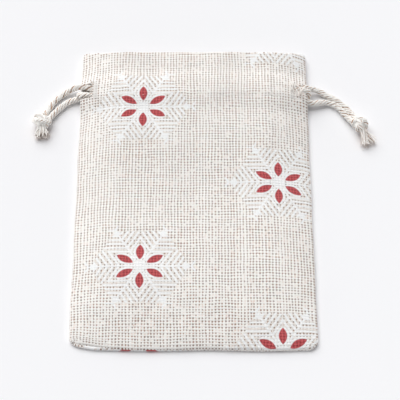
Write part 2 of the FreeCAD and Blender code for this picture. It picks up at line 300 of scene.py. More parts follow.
LOW_LIGHT, HIGH_LIGHT = 0.935, 0.24  # the sky's strength near the horizon and overhead
HORIZON_TOP = 0.3  # sine of the elevation where the sky turns dimmer


def add_world():
    world = bpy.data.worlds.new("studio")
    world.use_nodes = True
    tree = world.node_tree
    background = tree.nodes["Background"]
    background.inputs["Color"].default_value = (0.985, 0.99, 1.0, 1)
    # paler low down, where it's seen past the floor, than overhead
    place = tree.nodes.new("ShaderNodeTexCoord")
    split = tree.nodes.new("ShaderNodeSeparateXYZ")
    tree.links.new(place.outputs["Generated"], split.inputs[0])
    overhead = Num(tree, split.outputs[2]).soft(HORIZON_TOP - 0.1, HORIZON_TOP + 0.1)
    put(tree, background.inputs["Strength"], LOW_LIGHT + overhead * (HIGH_LIGHT - LOW_LIGHT))
    bpy.context.scene.world = world


# --- shader arithmetic --------------------------------------------------------
class Num:
    """A number in a shader tree; arithmetic on it adds math nodes."""

    def __init__(self, tree, socket):
        self.tree = tree
        self.socket = socket

    def op(self, kind, *others):
        node = self.tree.nodes.new("ShaderNodeMath")
        node.operation = kind
        for place, value in enumerate((self, *others)):
            put(self.tree, node.inputs[place], value)
        return Num(self.tree, node.outputs[0])

    __add__ = __radd__ = partialmethod(op, "ADD")
    __sub__ = partialmethod(op, "SUBTRACT")
    __mul__ = __rmul__ = partialmethod(op, "MULTIPLY")
    __truediv__ = partialmethod(op, "DIVIDE")
    abs = partialmethod(op, "ABSOLUTE")
    floor = partialmethod(op, "FLOOR")
    sin = partialmethod(op, "SINE")
    cos = partialmethod(op, "COSINE")
    root = partialmethod(op, "SQRT")
    most = partialmethod(op, "MAXIMUM")
    least = partialmethod(op, "MINIMUM")
    over = partialmethod(op, "GREATER_THAN")
    power = partialmethod(op, "POWER")

    def __rsub__(self, other):
        return (self * -1.0) + other

    def wrap(self, period):
        """Distance from the nearest whole multiple of period, with its sign."""
        return self - ((self / period) + 0.5).floor() * period

    def soft(self, low, high):
        """0 below low, 1 above high, smooth between."""
        node = self.tree.nodes.new("ShaderNodeMapRange")
        node.interpolation_type = "SMOOTHSTEP"
        put(self.tree, node.inputs["Value"], self)
        put(self.tree, node.inputs["From Min"], low)
        put(self.tree, node.inputs["From Max"], high)
        return Num(self.tree, node.outputs["Result"])


def put(tree, socket, value):
    if isinstance(value, Num):
        tree.links.new(value.socket, socket)
    else:
        socket.default_value = value


def mix(tree, share, a, b):
    """Colour a where share is 0 and b where it is 1."""
    node = tree.nodes.new("ShaderNodeMix")
    node.data_type = "RGBA"
    put(tree, node.inputs["Factor"], share)
    for name, value in (("A", a), ("B", b)):
        socket = [s for s in node.inputs if s.name == name and s.type == "RGBA"][0]
        put(tree, socket, value)
    colour = [s for s in node.outputs if s.type == "RGBA"][0]
    return Num(tree, colour)


def together(tree, x, y, z=0.0):
    node = tree.nodes.new("ShaderNodeCombineXYZ")
    for place, value in enumerate((x, y, z)):
        put(tree, node.inputs[place], value)
    return Num(tree, node.outputs[0])


def noise(tree, at, scale, detail=2.0, rough=0.5):
    node = tree.nodes.new("ShaderNodeTexNoise")
    node.inputs["Scale"].default_value = scale
    node.inputs["Detail"].default_value = detail
    node.inputs["Roughness"].default_value = rough
    put(tree, node.inputs["Vector"], at)
    return Num(tree, node.outputs[0])


def noise_at(tree, x, y, z=0.0, detail=2.0, rough=0.5):
    return noise(tree, together(tree, x, y, z), 1.0, detail, rough)


def chance(tree, x, y):
    """A number from 0 to 1 that is fixed for each pair of whole numbers."""
    node = tree.nodes.new("ShaderNodeTexWhiteNoise")
    node.noise_dimensions = "2D"
    put(tree, node.inputs["Vector"], together(tree, x, y))
    return Num(tree, node.outputs["Value"])


def new_material(name, roughness, sheen, specular=0.25):
    material = bpy.data.materials.new(name)
    material.use_nodes = True
    tree = material.node_tree
    shader = tree.nodes["Principled BSDF"]
    shader.inputs["Roughness"].default_value = roughness
    shader.inputs["Specular IOR Level"].default_value = specular
    shader.inputs["Sheen Weight"].default_value = sheen
    shader.inputs["Sheen Roughness"].default_value = 0.5
    return material, tree, shader


def bump(tree, shader, height, distance_mm, strength=1.0):
    node = tree.nodes.new("ShaderNodeBump")
    node.inputs["Distance"].default_value = distance_mm * MM
    node.inputs["Strength"].default_value = strength
    put(tree, node.inputs["Height"], height)
    tree.links.new(node.outputs["Normal"], shader.inputs["Normal"])


def laid_coordinates(tree):
    """Place on the flat cloth, or along a thread, in millimetres."""
    node = tree.nodes.new("ShaderNodeUVMap")
    node.uv_map = "flat"
    split = tree.nodes.new("ShaderNodeSeparateXYZ")
    tree.links.new(node.outputs["UV"], split.inputs[0])
    return Num(tree, split.outputs[0]), Num(tree, split.outputs[1])


# --- the woven, printed cloth -------------------------------------------------
MOTIF_A = (-22.0, 38.2)  # one centre of each of the two columns of motifs
MOTIF_B = (36.0, 2.9)
MOTIF_WIDE = 116.0
MOTIF_HIGH = 73.55
MOTIF_STRETCH = (1.03, 0.89)  # the print is a little wider than it is high
SECTOR = math.pi / 3
PETAL_FROM, PETAL_LONG, PETAL_HALF = 3.0, 7.9, 1.95
LINE_FIRST, LINE_PITCH, LINE_HALF = 1.5, 2.25, 0.54
LINES_FROM, LINES_TO, LINES_FLARE = 6.6, 19.4, 0.14
STAR_FROM, STAR_TO = 5.5, 19.6
BAND_WIDTH = 0.75
SPINE_TO, SPINE_HALF = 19.0, 0.42
BLOB_AT, BLOB_R = 18.8, 1.3
BARB_AT, BARB_SLOPE, BARB_HALF, BARB_REACH = 20.6, 0.6, 0.42, 2.4
CENTRE_R = 2.7


def nearest_motif(u, v):
    """Place measured from the nearest motif's centre."""
    ax, ay = (u - MOTIF_A[0]).wrap(MOTIF_WIDE), (v - MOTIF_A[1]).wrap(MOTIF_HIGH)
    bx, by = (u - MOTIF_B[0]).wrap(MOTIF_WIDE), (v - MOTIF_B[1]).wrap(MOTIF_HIGH)
    is_b = (ax * ax + ay * ay).over(bx * bx + by * by)
    return (ax + (bx - ax) * is_b) / MOTIF_STRETCH[0], (ay + (by - ay) * is_b) / MOTIF_STRETCH[1]


def print_masks(tree, u, v):
    """Shares of white and of red ink, and of the star where cloth shows between the white lines and gets painted
    shade.
    """
    x, y = nearest_motif(u, v)
    r = (x * x + y * y).root()
    turn = y.op("ARCTAN2", x)
    off_spine = turn.wrap(SECTOR).abs()
    across_spine = r * off_spine.sin()
    along_spine = r * off_spine.cos()
    off_petal = SECTOR / 2 - off_spine
    across_petal = r * off_petal.sin()
    along_petal = r * off_petal.cos()
    # petals
    t = ((along_petal - PETAL_FROM) / PETAL_LONG).most(0.0).least(1.0)
    petal_half = (t * math.pi).sin().most(0.0).power(0.75) * PETAL_HALF
    red = (petal_half - across_petal).soft(0.05, 0.5)
    # nested lozenges, one in each sector between two spines
    ring = r * (SECTOR - off_spine).sin() / math.sin(SECTOR)
    lines = (LINE_HALF - (ring - LINE_FIRST).wrap(LINE_PITCH).abs()).soft(-0.14, 0.14)
    reach = r * (off_spine * (LINES_FLARE / (SECTOR / 2)) + 1.0)
    lines = lines * (ring - LINES_FROM).soft(-0.2, 0.2) * (LINES_TO - reach).soft(-0.3, 0.3)
    # a band round each petal, the spines and the blobs at their ends
    band = (petal_half - across_petal + BAND_WIDTH).soft(-0.2, 0.2) * (t * (1.0 - t)).over(0.0)
    spine = (SPINE_HALF - across_spine).soft(-0.15, 0.15) * (SPINE_TO - r).soft(-0.4, 0.4)
    blob_x = along_spine - BLOB_AT
    blob = (BLOB_R - (blob_x * blob_x + across_spine * across_spine).root()).soft(-0.2, 0.2)
    barb = (BARB_HALF - (along_spine - across_spine * BARB_SLOPE - BARB_AT).abs()).soft(-0.15, 0.15)
    barb = barb * (BARB_REACH - across_spine).soft(-0.2, 0.2)
    centre = (CENTRE_R - r).soft(-0.3, 0.3)
    white = spine.most(lines).most(blob).most(barb).most(band).most(centre)
    shaded_star = (ring - STAR_FROM).soft(-0.3, 0.3) * (STAR_TO - reach).soft(-0.3, 0.3)
    return white, red, shaded_star


def weave(tree, u, v, wander_u, wander_v):
    """The plain weave. Gives the two yarns' numbers, the height, 1 where the warp is on top, how pale
    each gap's painted shade is, and how much yarn shows: 0 in a gap, 1 on a yarn."""
    cell_u, cell_v = (u + wander_u) / WARP_PITCH, (v + wander_v) / WEFT_PITCH
    i, j = cell_u.floor(), cell_v.floor()
    fu, fv = cell_u - i - 0.5, cell_v - j - 0.5
    # half the thickness of each yarn, which changes along it
    slub_u = noise_at(tree, i * 5.37, v * 0.45, 1.0, 2.0)
    slub_v = noise_at(tree, u * 0.45, j * 4.91, 6.0, 2.0)
    half_u = 0.01 + slub_u * 0.42 + chance(tree, i, 1.0) * 0.14
    half_v = 0.02 + slub_v * 0.44 + chance(tree, j, 2.0) * 0.08
    warp_up = (i + j).op("FLOORED_MODULO", 2.0) * 2.0 - 1.0
    round_u = (1.0 - (fu / half_u).power(2.0)).most(0.0).root() - 1.0
    round_v = (1.0 - (fv / half_v).power(2.0)).most(0.0).root() - 1.0
    warp = round_u + warp_up * (fv * math.pi).cos() * 0.42
    weft = round_v - warp_up * (fu * math.pi).cos() * 0.42
    height = warp.most(weft)
    gap_pale = chance(tree, (cell_u + 0.5).floor(), (cell_v + 0.5).floor() + 0.5)
    shut = gap_pale.soft(0.86, 0.94)  # some gaps are closed by fluff
    return i, j, height, warp.over(weft), gap_pale, (height + shut).soft(-0.98, -0.55)


def yarn_colour(tree, u, v, i, j, height, warp_top, fibres):
    """The tone of each yarn, of each stretch of it that shows, and of its fibres, with painted shade: paler on the
    yarns' crowns and darker down their sides.
    """
    own = chance(tree, j, 4.0) + (chance(tree, i, 3.0) - chance(tree, j, 4.0)) * warp_top
    shown = chance(tree, i + 0.5, j)
    broad = noise_at(tree, u * 0.06, v * 0.06, 4.0, 3.0)
    # painted shade: the height term makes each yarn paler on its crown and darker where it dips toward the gaps
    pale = own * 0.2 + shown * 0.3 + fibres * 0.4 + (broad - 0.5) * 0.4 + warp_top * 0.1 + height * 0.55
    return mix(tree, pale.soft(-0.3, 0.4), linear(232, 209, 197), linear(255, 252, 248))


def print_over(tree, colour, masks, u, v, height, gap_pale, fibres):
    """Ink on the yarns, which fills most of the gaps between them. Painted shade makes the ink greyer and a darker red
    in the gaps and down the yarns' sides.
    """
    white, red, shaded_star = masks
    ragged = noise_at(tree, u * 1.9, v * 1.9, 9.0, 2.0)
    taken = (height + ragged * 0.9).soft(-0.85, -0.4)
    # painted shade: white ink in the gaps turns grey, the more so in the darker gaps
    shaded_inked_gap = mix(tree, gap_pale, linear(190, 182, 178), linear(250, 250, 251))
    # painted shade: the cloth between the white lines is a little darker, as if shaded by the raised ink
    colour = mix(tree, shaded_star * 0.2, colour, linear(176, 158, 142))
    colour = mix(tree, white, colour, mix(tree, taken, shaded_inked_gap, linear(255, 255, 255)))
    # painted shade: red ink is darker down the yarns' sides, and darkest in the gaps; its fibres vary it too
    light_red = mix(tree, (height + fibres).soft(-0.3, 0.9), linear(160, 38, 46), linear(208, 92, 95))
    gap_shaded_red = mix(tree, taken, linear(128, 34, 42), light_red)
    return mix(tree, red * (taken * 0.3 + 0.68), colour, gap_shaded_red)


def cloth_material(name, printed):
    material, tree, shader = new_material(name, 0.88, 0.2)
    u, v = laid_coordinates(tree)
    # yarns wander a little sideways
    wander_u = (noise_at(tree, u * 0.13, v * 0.06, 3.0, 3.0, 0.6) - 0.5) * 1.5
    wander_v = (noise_at(tree, u * 0.06, v * 0.13, 8.0, 3.0, 0.6) - 0.5) * 1.5
    i, j, height, warp_top, gap_pale, yarn = weave(tree, u, v, wander_u, wander_v)
    fibres = noise_at(tree, u * 5.0, v * 5.0, 0.0, 3.0, 0.6)
    thread = yarn_colour(tree, u, v, i, j, height, warp_top, fibres)
    # painted shade: the gaps between the yarns are coloured dark brown for the shade seen through them, darker in some
    # gaps than others
    gap = mix(tree, gap_pale, linear(84, 46, 28), linear(160, 114, 88))
    colour = mix(tree, yarn, gap, thread)
    relief = height + fibres * 0.25
    if printed:
        masks = print_masks(tree, u + wander_u * 0.35, v + wander_v * 0.35)
        colour = print_over(tree, colour, masks, u, v, height, gap_pale, fibres)
        relief = relief + masks[0] * 0.15
    # a few brown and orange specks of seed in the cotton
    speck = noise_at(tree, u * 1.1, v * 1.5, 17.0, 0.0).soft(0.80, 0.86)
    colour = mix(tree, speck * 0.6, colour, linear(196, 142, 84))
    tree.links.new(colour.socket, shader.inputs["Base Color"])
    bump(tree, shader, relief, 0.16)
    return material


def twist_material(name, dark, pale, stripe_mm):
    """Twisted yarn: fibres that run slantwise round it. UV is (length, turn)."""
    material, tree, shader = new_material(name, 0.9, 0.35, 0.2)
    along, turn = laid_coordinates(tree)
    fibre = ((along / stripe_mm + turn) * 2 * math.pi).sin() * 0.5 + 0.5
    strand = turn.floor()
    blotch = noise_at(tree, along * 0.55, strand * 3.1, 0.0, 3.0, 0.6)
    fine = noise_at(tree, along * 6.0, turn * 9.0, 0.0, 2.0)
    own = chance(tree, strand, 5.0)
    # the shade each mesh carries: high on the outer yarns, low in the grooves between them
    node = tree.nodes.new("ShaderNodeAttribute")
    node.attribute_name = "shade"
    outer = Num(tree, node.outputs["Fac"])
    tone = fibre * 0.2 + blotch * 0.45 + fine * 0.25 + own * 0.25 + outer.soft(0.58, 0.96) * 1.1 - 0.62
    colour = mix(tree, tone.soft(0.08, 0.68), dark, pale)
    speck = noise_at(tree, along * 0.8, strand * 7.7, 2.0, 0.0).soft(0.80, 0.85)
    colour = mix(tree, speck * 0.6, colour, linear(206, 150, 92))
    tree.links.new(colour.socket, shader.inputs["Base Color"])
    bump(tree, shader, fibre + fine * 0.6, 0.05)
    return material


def floor_material():
    material, tree, shader = new_material("pale_paper", 0.9, 0.0, 0.1)
    node = tree.nodes.new("ShaderNodeTexCoord")
    grain = noise(tree, Num(tree, node.outputs["Object"]), 900.0, 3.0)
    colour = mix(tree, grain, linear(248, 248, 250), linear(250, 250, 252))
    tree.links.new(colour.socket, shader.inputs["Base Color"])
    bump(tree, shader, grain, 0.01, 0.2)
    return material


COTTON = cloth_material("printed_cotton", True)
COTTON_INSIDE = cloth_material("cotton_inside", False)
CORD_YARN = twist_material("cord_cotton", linear(208, 170, 140), linear(255, 253, 249), 0.5)
SEWING = twist_material("sewing_thread", linear(206, 198, 190), linear(248, 246, 243), 0.35)


# --- meshes -------------------------------------------------------------------
def link_mesh(name, points, faces, uvs, shade, material):
    """A smooth-shaded mesh object from points in millimetres, with one UV and one shade per point."""
    mesh = bpy.data.meshes.new(name)
    mesh.from_pydata([tuple(p) for p in np.asarray(points) * MM], [], [tuple(f) for f in faces])
    corner_points = np.zeros(len(mesh.loops), dtype=np.int64)
    mesh.loops.foreach_get("vertex_index", corner_points)
    layer = mesh.uv_layers.new(name="flat")
    layer.data.foreach_set("uv", np.asarray(uvs, dtype=np.float32)[corner_points].ravel())
    shades = mesh.attributes.new("shade", "FLOAT", "POINT")
    shades.data.foreach_set("value", np.asarray(shade, dtype=np.float32))
    mesh.polygons.foreach_set("use_smooth", [True] * len(mesh.polygons))
    mesh.materials.append(material)
    obj = bpy.data.objects.new(name, mesh)
    bpy.context.scene.collection.objects.link(obj)
    return obj


def grid(*parts):
    """The parts spread over one grid of rows and columns, one after the other at each place."""
    return np.stack(np.broadcast_arrays(*parts), axis=-1)


class Grids:
    """Collects point grids into one mesh."""

    def __init__(self):
        self.points, self.uvs, self.shades, self.faces = [], [], [], []
        self.count = 0

    def add(self, points, uvs, keep=None, flip=False, shade=None):
        """Adds a grid of points; keep says which quads stay, by the place of their first corner."""
        rows, cols = points.shape[:2]
        r, c = np.meshgrid(np.arange(rows - 1), np.arange(cols - 1), indexing="ij")
        if keep is not None:
            chosen = keep(points[:-1, :-1])
            r, c = r[chosen], c[chosen]
        r, c = r.ravel(), c.ravel()
        quads = [r * cols + c, r * cols + c + 1, (r + 1) * cols + c + 1, (r + 1) * cols + c]
        quads = np.stack(quads, axis=1) + self.count
        self.faces.append(quads[:, ::-1] if flip else quads)
        self.points.append(points.reshape(-1, 3))
        self.uvs.append(uvs.reshape(-1, 2))
        self.shades.append(np.full(rows * cols, 0.95) if shade is None else shade.ravel())
        self.count += rows * cols

    def build(self, name, material):
        points, uvs = np.concatenate(self.points), np.concatenate(self.uvs)
        faces, shade = np.concatenate(self.faces), np.concatenate(self.shades)
        used = np.zeros(len(points), bool)
        used[faces.ravel()] = True
        index = np.cumsum(used) - 1
        return link_mesh(name, points[used], index[faces].tolist(), uvs[used], shade[used], material)


def thicken(obj, thickness_mm, inside=None):
    """Gives a sheet its thickness; its back gets the material inside, if there is one."""
    modifier = obj.modifiers.new("thickness", "SOLIDIFY")
    modifier.thickness = thickness_mm * MM
    modifier.offset = 0.0
    if inside is not None:
        obj.data.materials.append(inside)
        modifier.material_offset = 1
    graph = bpy.context.evaluated_depsgraph_get()
    obj.data = bpy.data.meshes.new_from_object(obj.evaluated_get(graph))
    obj.data.set_sharp_from_angle(angle=math.radians(55))
    obj.modifiers.clear()


# --- the cloth's shape --------------------------------------------------------
def smooth(t):
    t = np.clip(t, 0, 1)
    return t * t * (3 - 2 * t)


def rise(distance, width):
    return np.sin(np.pi / 2 * np.clip(distance / width, 0, 1)) ** RISE_POWER


def channel(y):
    """1 in the drawstring channel, 0 beyond its stitch rows."""
    off = np.clip((np.abs(y - CASING_Y) - CHANNEL_FLAT) / (CHANNEL_HALF - CHANNEL_FLAT), 0, 1)
    return np.cos(np.pi / 2 * off) ** 2


FLATTER_HUMP = 0.3  # the visible hump over the cords is this much lower than the CAD's
HUMP_FADE = 9.0  # and fades out over this length above and below


def casing_hump(y):
    above = smooth(1 - (y - CASING_Y - CHANNEL_FLAT) / HUMP_FADE)
    below = smooth(1 - (CASING_Y - CHANNEL_FLAT - y) / HUMP_FADE)
    return np.where(y > CASING_Y, above, below)


def front_top(x, y):
    """Height of the front cloth's outer side, as in the CAD model but softer at its edges and casing."""
    from_side = FRONT_HALF_X - np.abs(x)
    from_bottom = y - FRONT_BOTTOM_Y
    header = smooth((y - 34) / 8)
    crown = BODY_Z + (HEADER_Z - BODY_Z) * smooth((y + 8) / 50)
    side_rise = rise(from_side, SIDE_RISE)
    height = EDGE_Z + HEADER_EDGE_EXTRA * header
    height = height + (crown - EDGE_Z) * side_rise * rise(from_bottom, BOTTOM_RISE)
    height = height - HEADER_EDGE_EXTRA * header * side_rise
    wave = sum(h * np.exp(-(((x - at) / half) ** 2)) for at, half, h in WAVES)
    hump = CASING_EXTRA_Z - FLATTER_HUMP + CASING_SIDE_EXTRA_Z * (1 - side_rise)
    return height + hump * casing_hump(y) + wave * smooth((y - 20) / 50)


def front_clear(x):
    """Room for the cord in the CAD's front channel."""
    return CHANNEL_CLEAR + CHANNEL_SIDE_CLEAR * (1 - rise(FRONT_HALF_X - np.abs(x), SIDE_RISE))


def mouth_edge_y(x):
    return MOUTH_Y - VIEW_LEAN * (front_top(x, np.full_like(x, MOUTH_Y)) - EDGE_Z)


def front_channel_z(x):
    return float(front_top(x, CASING_Y) - CLOTH - front_clear(x) / 2)


# The cords lie low in the front channel, and so stay under the cloth when they're pulled.
LEFT_RUN_Z, RIGHT_RUN_Z = 6.9, 5.7


def hem_clear(x):
    """Room under the front cloth for the cords, down to the hem's inner side."""
    down_to_cords = front_top(x, CASING_Y) - CLOTH - RIGHT_RUN_Z
    return np.maximum(front_clear(x), down_to_cords + CHANNEL_CLEAR / 2 + 0.2)


def ripple(x, y):
    """Small unevenness of soft cloth, and shallow gathers near the casing."""
    broad = 0.16 * np.sin(0.21 * x + 0.13 * y + 1.0) * np.sin(0.09 * x - 0.17 * y)
    broad = broad + 0.10 * np.sin(0.47 * x - 0.08 * y + 2.0) * np.sin(0.31 * y + 0.06 * x)
    gathers = 0.16 * np.sin(0.82 * x + 0.9 * np.sin(0.21 * x)) * np.exp(-(((y - 46) / 17) ** 2))
    return broad + gathers


def stitch_groove(x, y):
    """The creases along the casing's two rows of stitches; the lower one is deep at the right only."""
    low = STITCH_LOW_Y + 0.45 * np.sin(0.27 * x + 0.5) + 0.2 * np.sin(0.71 * x)
    deep = 0.02 + (0.46 + 0.12 * np.sin(0.6 * x)) * smooth((x + 7) / 8)
    return -deep * np.exp(-(((y - low) / 0.45) ** 2)) - 0.1 * np.exp(-(((y - STITCH_HIGH_Y) / 0.5) ** 2))


def front_mid(x, y):
    """Height of the middle of the front cloth."""
    inside = rise(FRONT_HALF_X - np.abs(x), 7.0) * rise(y - FRONT_BOTTOM_Y, 7.0)
    return front_top(x, y) - CLOTH / 2 + (ripple(x, y) + stitch_groove(x, y)) * inside


def round_corner(points):
    """Rounds the two bottom corners, lifts the bottom's left end and sways the sides a little."""
    x, y = points[..., 0], points[..., 1]
    dx = np.abs(x) - (HALF_WIDE - CORNER_R)
    dy = (BOTTOM_Y + CORNER_R) - y
    inside = (dx > 0) & (dy > 0)
    dx, dy = np.maximum(dx, 1e-9), np.maximum(dy, 1e-9)
    shrink = np.where(inside, np.maximum(dx, dy) / np.hypot(dx, dy), 1.0)
    points[..., 0] = np.where(inside, np.sign(x) * (HALF_WIDE - CORNER_R + dx * shrink), x)
    y = np.where(inside, BOTTOM_Y + CORNER_R - dy * shrink, y)
    near = 1 - smooth((y - BOTTOM_Y) / 14)
    lift = 1.5 * smooth((-38 - x) / 11) + 0.2 * np.sin(0.14 * x + 0.8) + 0.2
    points[..., 1] = y + lift * near
    points[..., 0] += 0.12 * np.sin(0.19 * y + 1.5) * smooth((np.abs(x) - 38) / 10)
    return points


def spaced(first, last, step, fine_ends=()):
    """Places from first to last about step apart, close together near the named ends."""
    count = int(round(abs(last - first) / step))
    places = list(np.linspace(first, last, count + 1))
    for end in fine_ends:
        toward = 1 if end == min(first, last) else -1
        places += [end + toward * d for d in (0.15, 0.35, 0.6, 1.1, 1.6)]
    return np.array(sorted(set(np.round(places, 4))))


BODY_ROWS = spaced(FRONT_BOTTOM_Y, MOUTH_Y, 0.8, (FRONT_BOTTOM_Y,))
ROLL_TURNS = np.radians(np.linspace(60, 255, 9))  # from the roll's end round to the flat back
HEADER_FROM = 54.8  # where the loose cloth above the channel starts


def roll_shows(x):
    """1 where the bottom roll shows past the front's edge, near the left corner; else 0."""
    return np.exp(-(((x + 42) / 7) ** 2))


def bottom_step(x):
    """How far inside the outline the front's lower edge lies."""
    return 1.2 * roll_shows(x) + 0.07 * np.sin(0.33 * x)


def front_rows_y(x, rows):
    """Where the rows lie on the front: the header shortens as it stands up."""
    top = mouth_edge_y(x) - MOUTH_ROLL
    share = np.clip((rows - HEADER_FROM) / (MOUTH_Y - HEADER_FROM), 0, 1)
    y = np.where(rows > HEADER_FROM, HEADER_FROM + (top - HEADER_FROM) * share, rows)
    return y + bottom_step(x) * (1 - smooth((rows - FRONT_BOTTOM_Y) / 5))


def front_sheet(x_flat):
    """The front cloth over columns x_flat, with a small flap turned in at the bottom."""
    x = x_flat[None, :]
    rows = BODY_ROWS[:, None]
    y = front_rows_y(x, rows)
    z = front_mid(x, rows)
    near_edge = np.exp(-(rows - FRONT_BOTTOM_Y) / 0.6)
    z = z - (0.4 - 0.15 * roll_shows(x)) * near_edge
    y = y - 0.05 * (1 - roll_shows(x)) * near_edge
    flap = np.linspace(1, 0, len(ROLL_TURNS), endpoint=False)[:, None]
    flap_y = y[:1] + 0.25 * flap
    flap_z = z[:1] - 0.35 * flap
    flap_x = np.broadcast_to(x, flap_y.shape)
    sheet_points = grid(x, y, z)
    points = np.concatenate([grid(flap_x, flap_y, flap_z), sheet_points], axis=0)
    laid = np.where(rows > HEADER_FROM, y, rows)
    flap_v = np.broadcast_to(FRONT_BOTTOM_Y - flap * 2.0, flap_y.shape)
    uvs = grid(x, np.concatenate([flap_v, laid], axis=0))
    return points, uvs


def back_u(x):
    """Place on the flat cloth of x on the back, counted on round the fold at the left."""
    return -2 * HALF_WIDE - x


def back_laid(x, v):
    """Place on the flat cloth of a place on the back, which lies a little askew to the front."""
    return back_u(x) - 2, v + 1.75 * smooth((x + HALF_WIDE) / 25)


def back_rows():
    """Places, heights and cloth lengths of the back's rows: the bottom roll, then the flat cloth."""
    centre = BOTTOM_Y + ROLL_R + ROLL_INSIDE
    roll_y = centre + ROLL_R * np.cos(ROLL_TURNS)
    roll_z = ROLL_R + ROLL_R * np.sin(ROLL_TURNS)
    roll_v = centre - ROLL_R * (1.5 * np.pi - ROLL_TURNS)
    stretch = (MOUTH_Y - MOUTH_FOLD_R - centre) / (MOUTH_Y - FRONT_BOTTOM_Y)
    flat = centre + (BODY_ROWS - FRONT_BOTTOM_Y) * stretch
    y = np.concatenate([roll_y, flat])
    z = CLOTH / 2 + np.concatenate([roll_z, np.zeros(len(flat))])
    return y, z, np.concatenate([roll_v, flat])


def in_slot(points):
    """True where the channel's ends are cut open for the cords. The right slot's upper edge comes
    lower toward the inside."""
    x, y = np.abs(points[..., 0]), points[..., 1]
    at_right = points[..., 0] > 0
    low = SLOT_LOW_Y + np.where(at_right, 3.3, 0.1)
    high = SLOT_HIGH_Y - np.where(at_right, 0.6 + 1.9 * smooth((47.4 - x) / 1.2), 0.5)
    return (x > SLOT_X - 0.4) & (y > low) & (y < high)


def front_hem(x_flat):
    """The fold at the mouth and the hem turned in under the front cloth."""
    x = x_flat[None, :]
    top = mouth_edge_y(x) - MOUTH_ROLL
    z_top = front_mid(x, np.full_like(x, MOUTH_Y))
    turns = np.linspace(0, np.pi, 8)[:, None]
    drop_end = CLOTH + LAYER_GAP + 0.35
    fold_y = top + MOUTH_ROLL * np.sin(turns)
    fold_z = z_top - drop_end / 2 * (1 - np.cos(turns))
    rows = np.linspace(MOUTH_Y, HEM_END_Y, 44)[1:, None]
    y = front_rows_y(x, rows)
    near_fold = 0.35 * smooth((rows - MOUTH_Y + 7) / 6)
    # at the slots the hem sinks out of the cords' way
    by_slot = smooth((np.abs(x) - 42.6) / 1.4) * smooth((54.6 - rows) / 1.6) * smooth((rows - 43.0) / 1.2)
    gap = LAYER_GAP + near_fold + (hem_clear(x) - LAYER_GAP) * np.maximum(channel(rows), by_slot)
    z = front_mid(x, rows) - CLOTH - gap
    points = np.concatenate([grid(x, fold_y, fold_z), grid(x, y, z)], axis=0)
    v = np.concatenate([top + turns * 0.5, 2 * top + 1.6 - y])
    return points, grid(x, v)


def back_hem(x_flat):
    """The fold at the mouth and the hem turned in over the back cloth."""
    x, u = x_flat[None, :], back_u(x_flat)[None, :]
    fold_y = MOUTH_Y - MOUTH_FOLD_R
    turns = np.linspace(0, np.pi, 8)[:, None]
    y_fold = fold_y + MOUTH_FOLD_R * np.sin(turns)
    z_fold = CLOTH / 2 + 0.3 * (1 - np.cos(turns))
    rows = np.linspace(fold_y, HEM_END_Y, 44)[1:, None]
    rest = (0.6 - CLOTH - LAYER_GAP) * smooth((rows - fold_y + 10) / 7)
    z = CLOTH / 2 + CLOTH + LAYER_GAP + rest + (CHANNEL_CLEAR - LAYER_GAP) * channel(rows)
    points = np.concatenate([grid(x, y_fold, z_fold), grid(x, rows, z)], axis=0)
    v = np.concatenate([MOUTH_Y + turns * 0.5, 2 * MOUTH_Y - rows + 1.6])
    return points, grid(u, v)


def outside_slot(points):
    return ~in_slot(points)


def beneath_cords(points):
    """The fold's lower half and the back stay whole under the cords that come out."""
    return ~(in_slot(points) & (points[..., 2] > 0.9))


def make_left_cloth():
    """The left half: front, round the fold at the side, and back, with both hems."""
    fold_x = -(HALF_WIDE - FOLD_WIDTH)
    front_x = spaced(fold_x, 0.0, BODY_STEP, (fold_x,))[::-1]
    front, front_uv = front_sheet(front_x)
    y_back, z_back, v_back = back_rows()
    back_x = spaced(fold_x, 0.0, BACK_STEP)
    back = grid(back_x[None, :], y_back[:, None], z_back[:, None])
    back_uv = grid(*back_laid(back_x[None, :], v_back[:, None]))
    # the fold turns from the front's last column down to the back's first
    turns = np.radians(np.linspace(0, 180, 12))[1:-1]
    share = (1 - np.cos(turns)) / 2
    top, low = front[:, -1:], back[:, :1]
    fold = top + (low - top) * share[None, :, None]
    fold[..., 0] = fold_x - FOLD_WIDTH * np.sin(turns)[None, :]
    fold_uv = front_uv[:, -1:] + (back_uv[:, :1] - front_uv[:, -1:]) * (turns / np.pi)[None, :, None]
    cloth = Grids()
    whole = np.concatenate([front, fold, back], axis=1)
    whole_uv = np.concatenate([front_uv, fold_uv, back_uv], axis=1)
    cloth.add(round_corner(whole), whole_uv, beneath_cords, flip=True)
    cloth.add(*front_hem(front_x), flip=True)
    cloth.add(*back_hem(back_x), outside_slot, flip=True)
    return cloth.build("cloth_left_half", COTTON)


def make_front_right_cloth():
    """The right half of the front, up to the seam."""
    flat = spaced(0.0, FRONT_HALF_X, BODY_STEP, (FRONT_HALF_X,))
    points, uvs = front_sheet(flat)
    # the edge comes down over the seam's roll
    near_edge = np.exp(-(FRONT_HALF_X - flat) / 0.6)[None, :]
    points[..., 2] -= 0.5 * near_edge
    points[..., 0] += 0.15 * near_edge
    cloth = Grids()
    cloth.add(round_corner(points), uvs, outside_slot)
    cloth.add(*front_hem(flat[flat < HEM_HALF_X]))
    return cloth.build("cloth_front_right_half", COTTON)


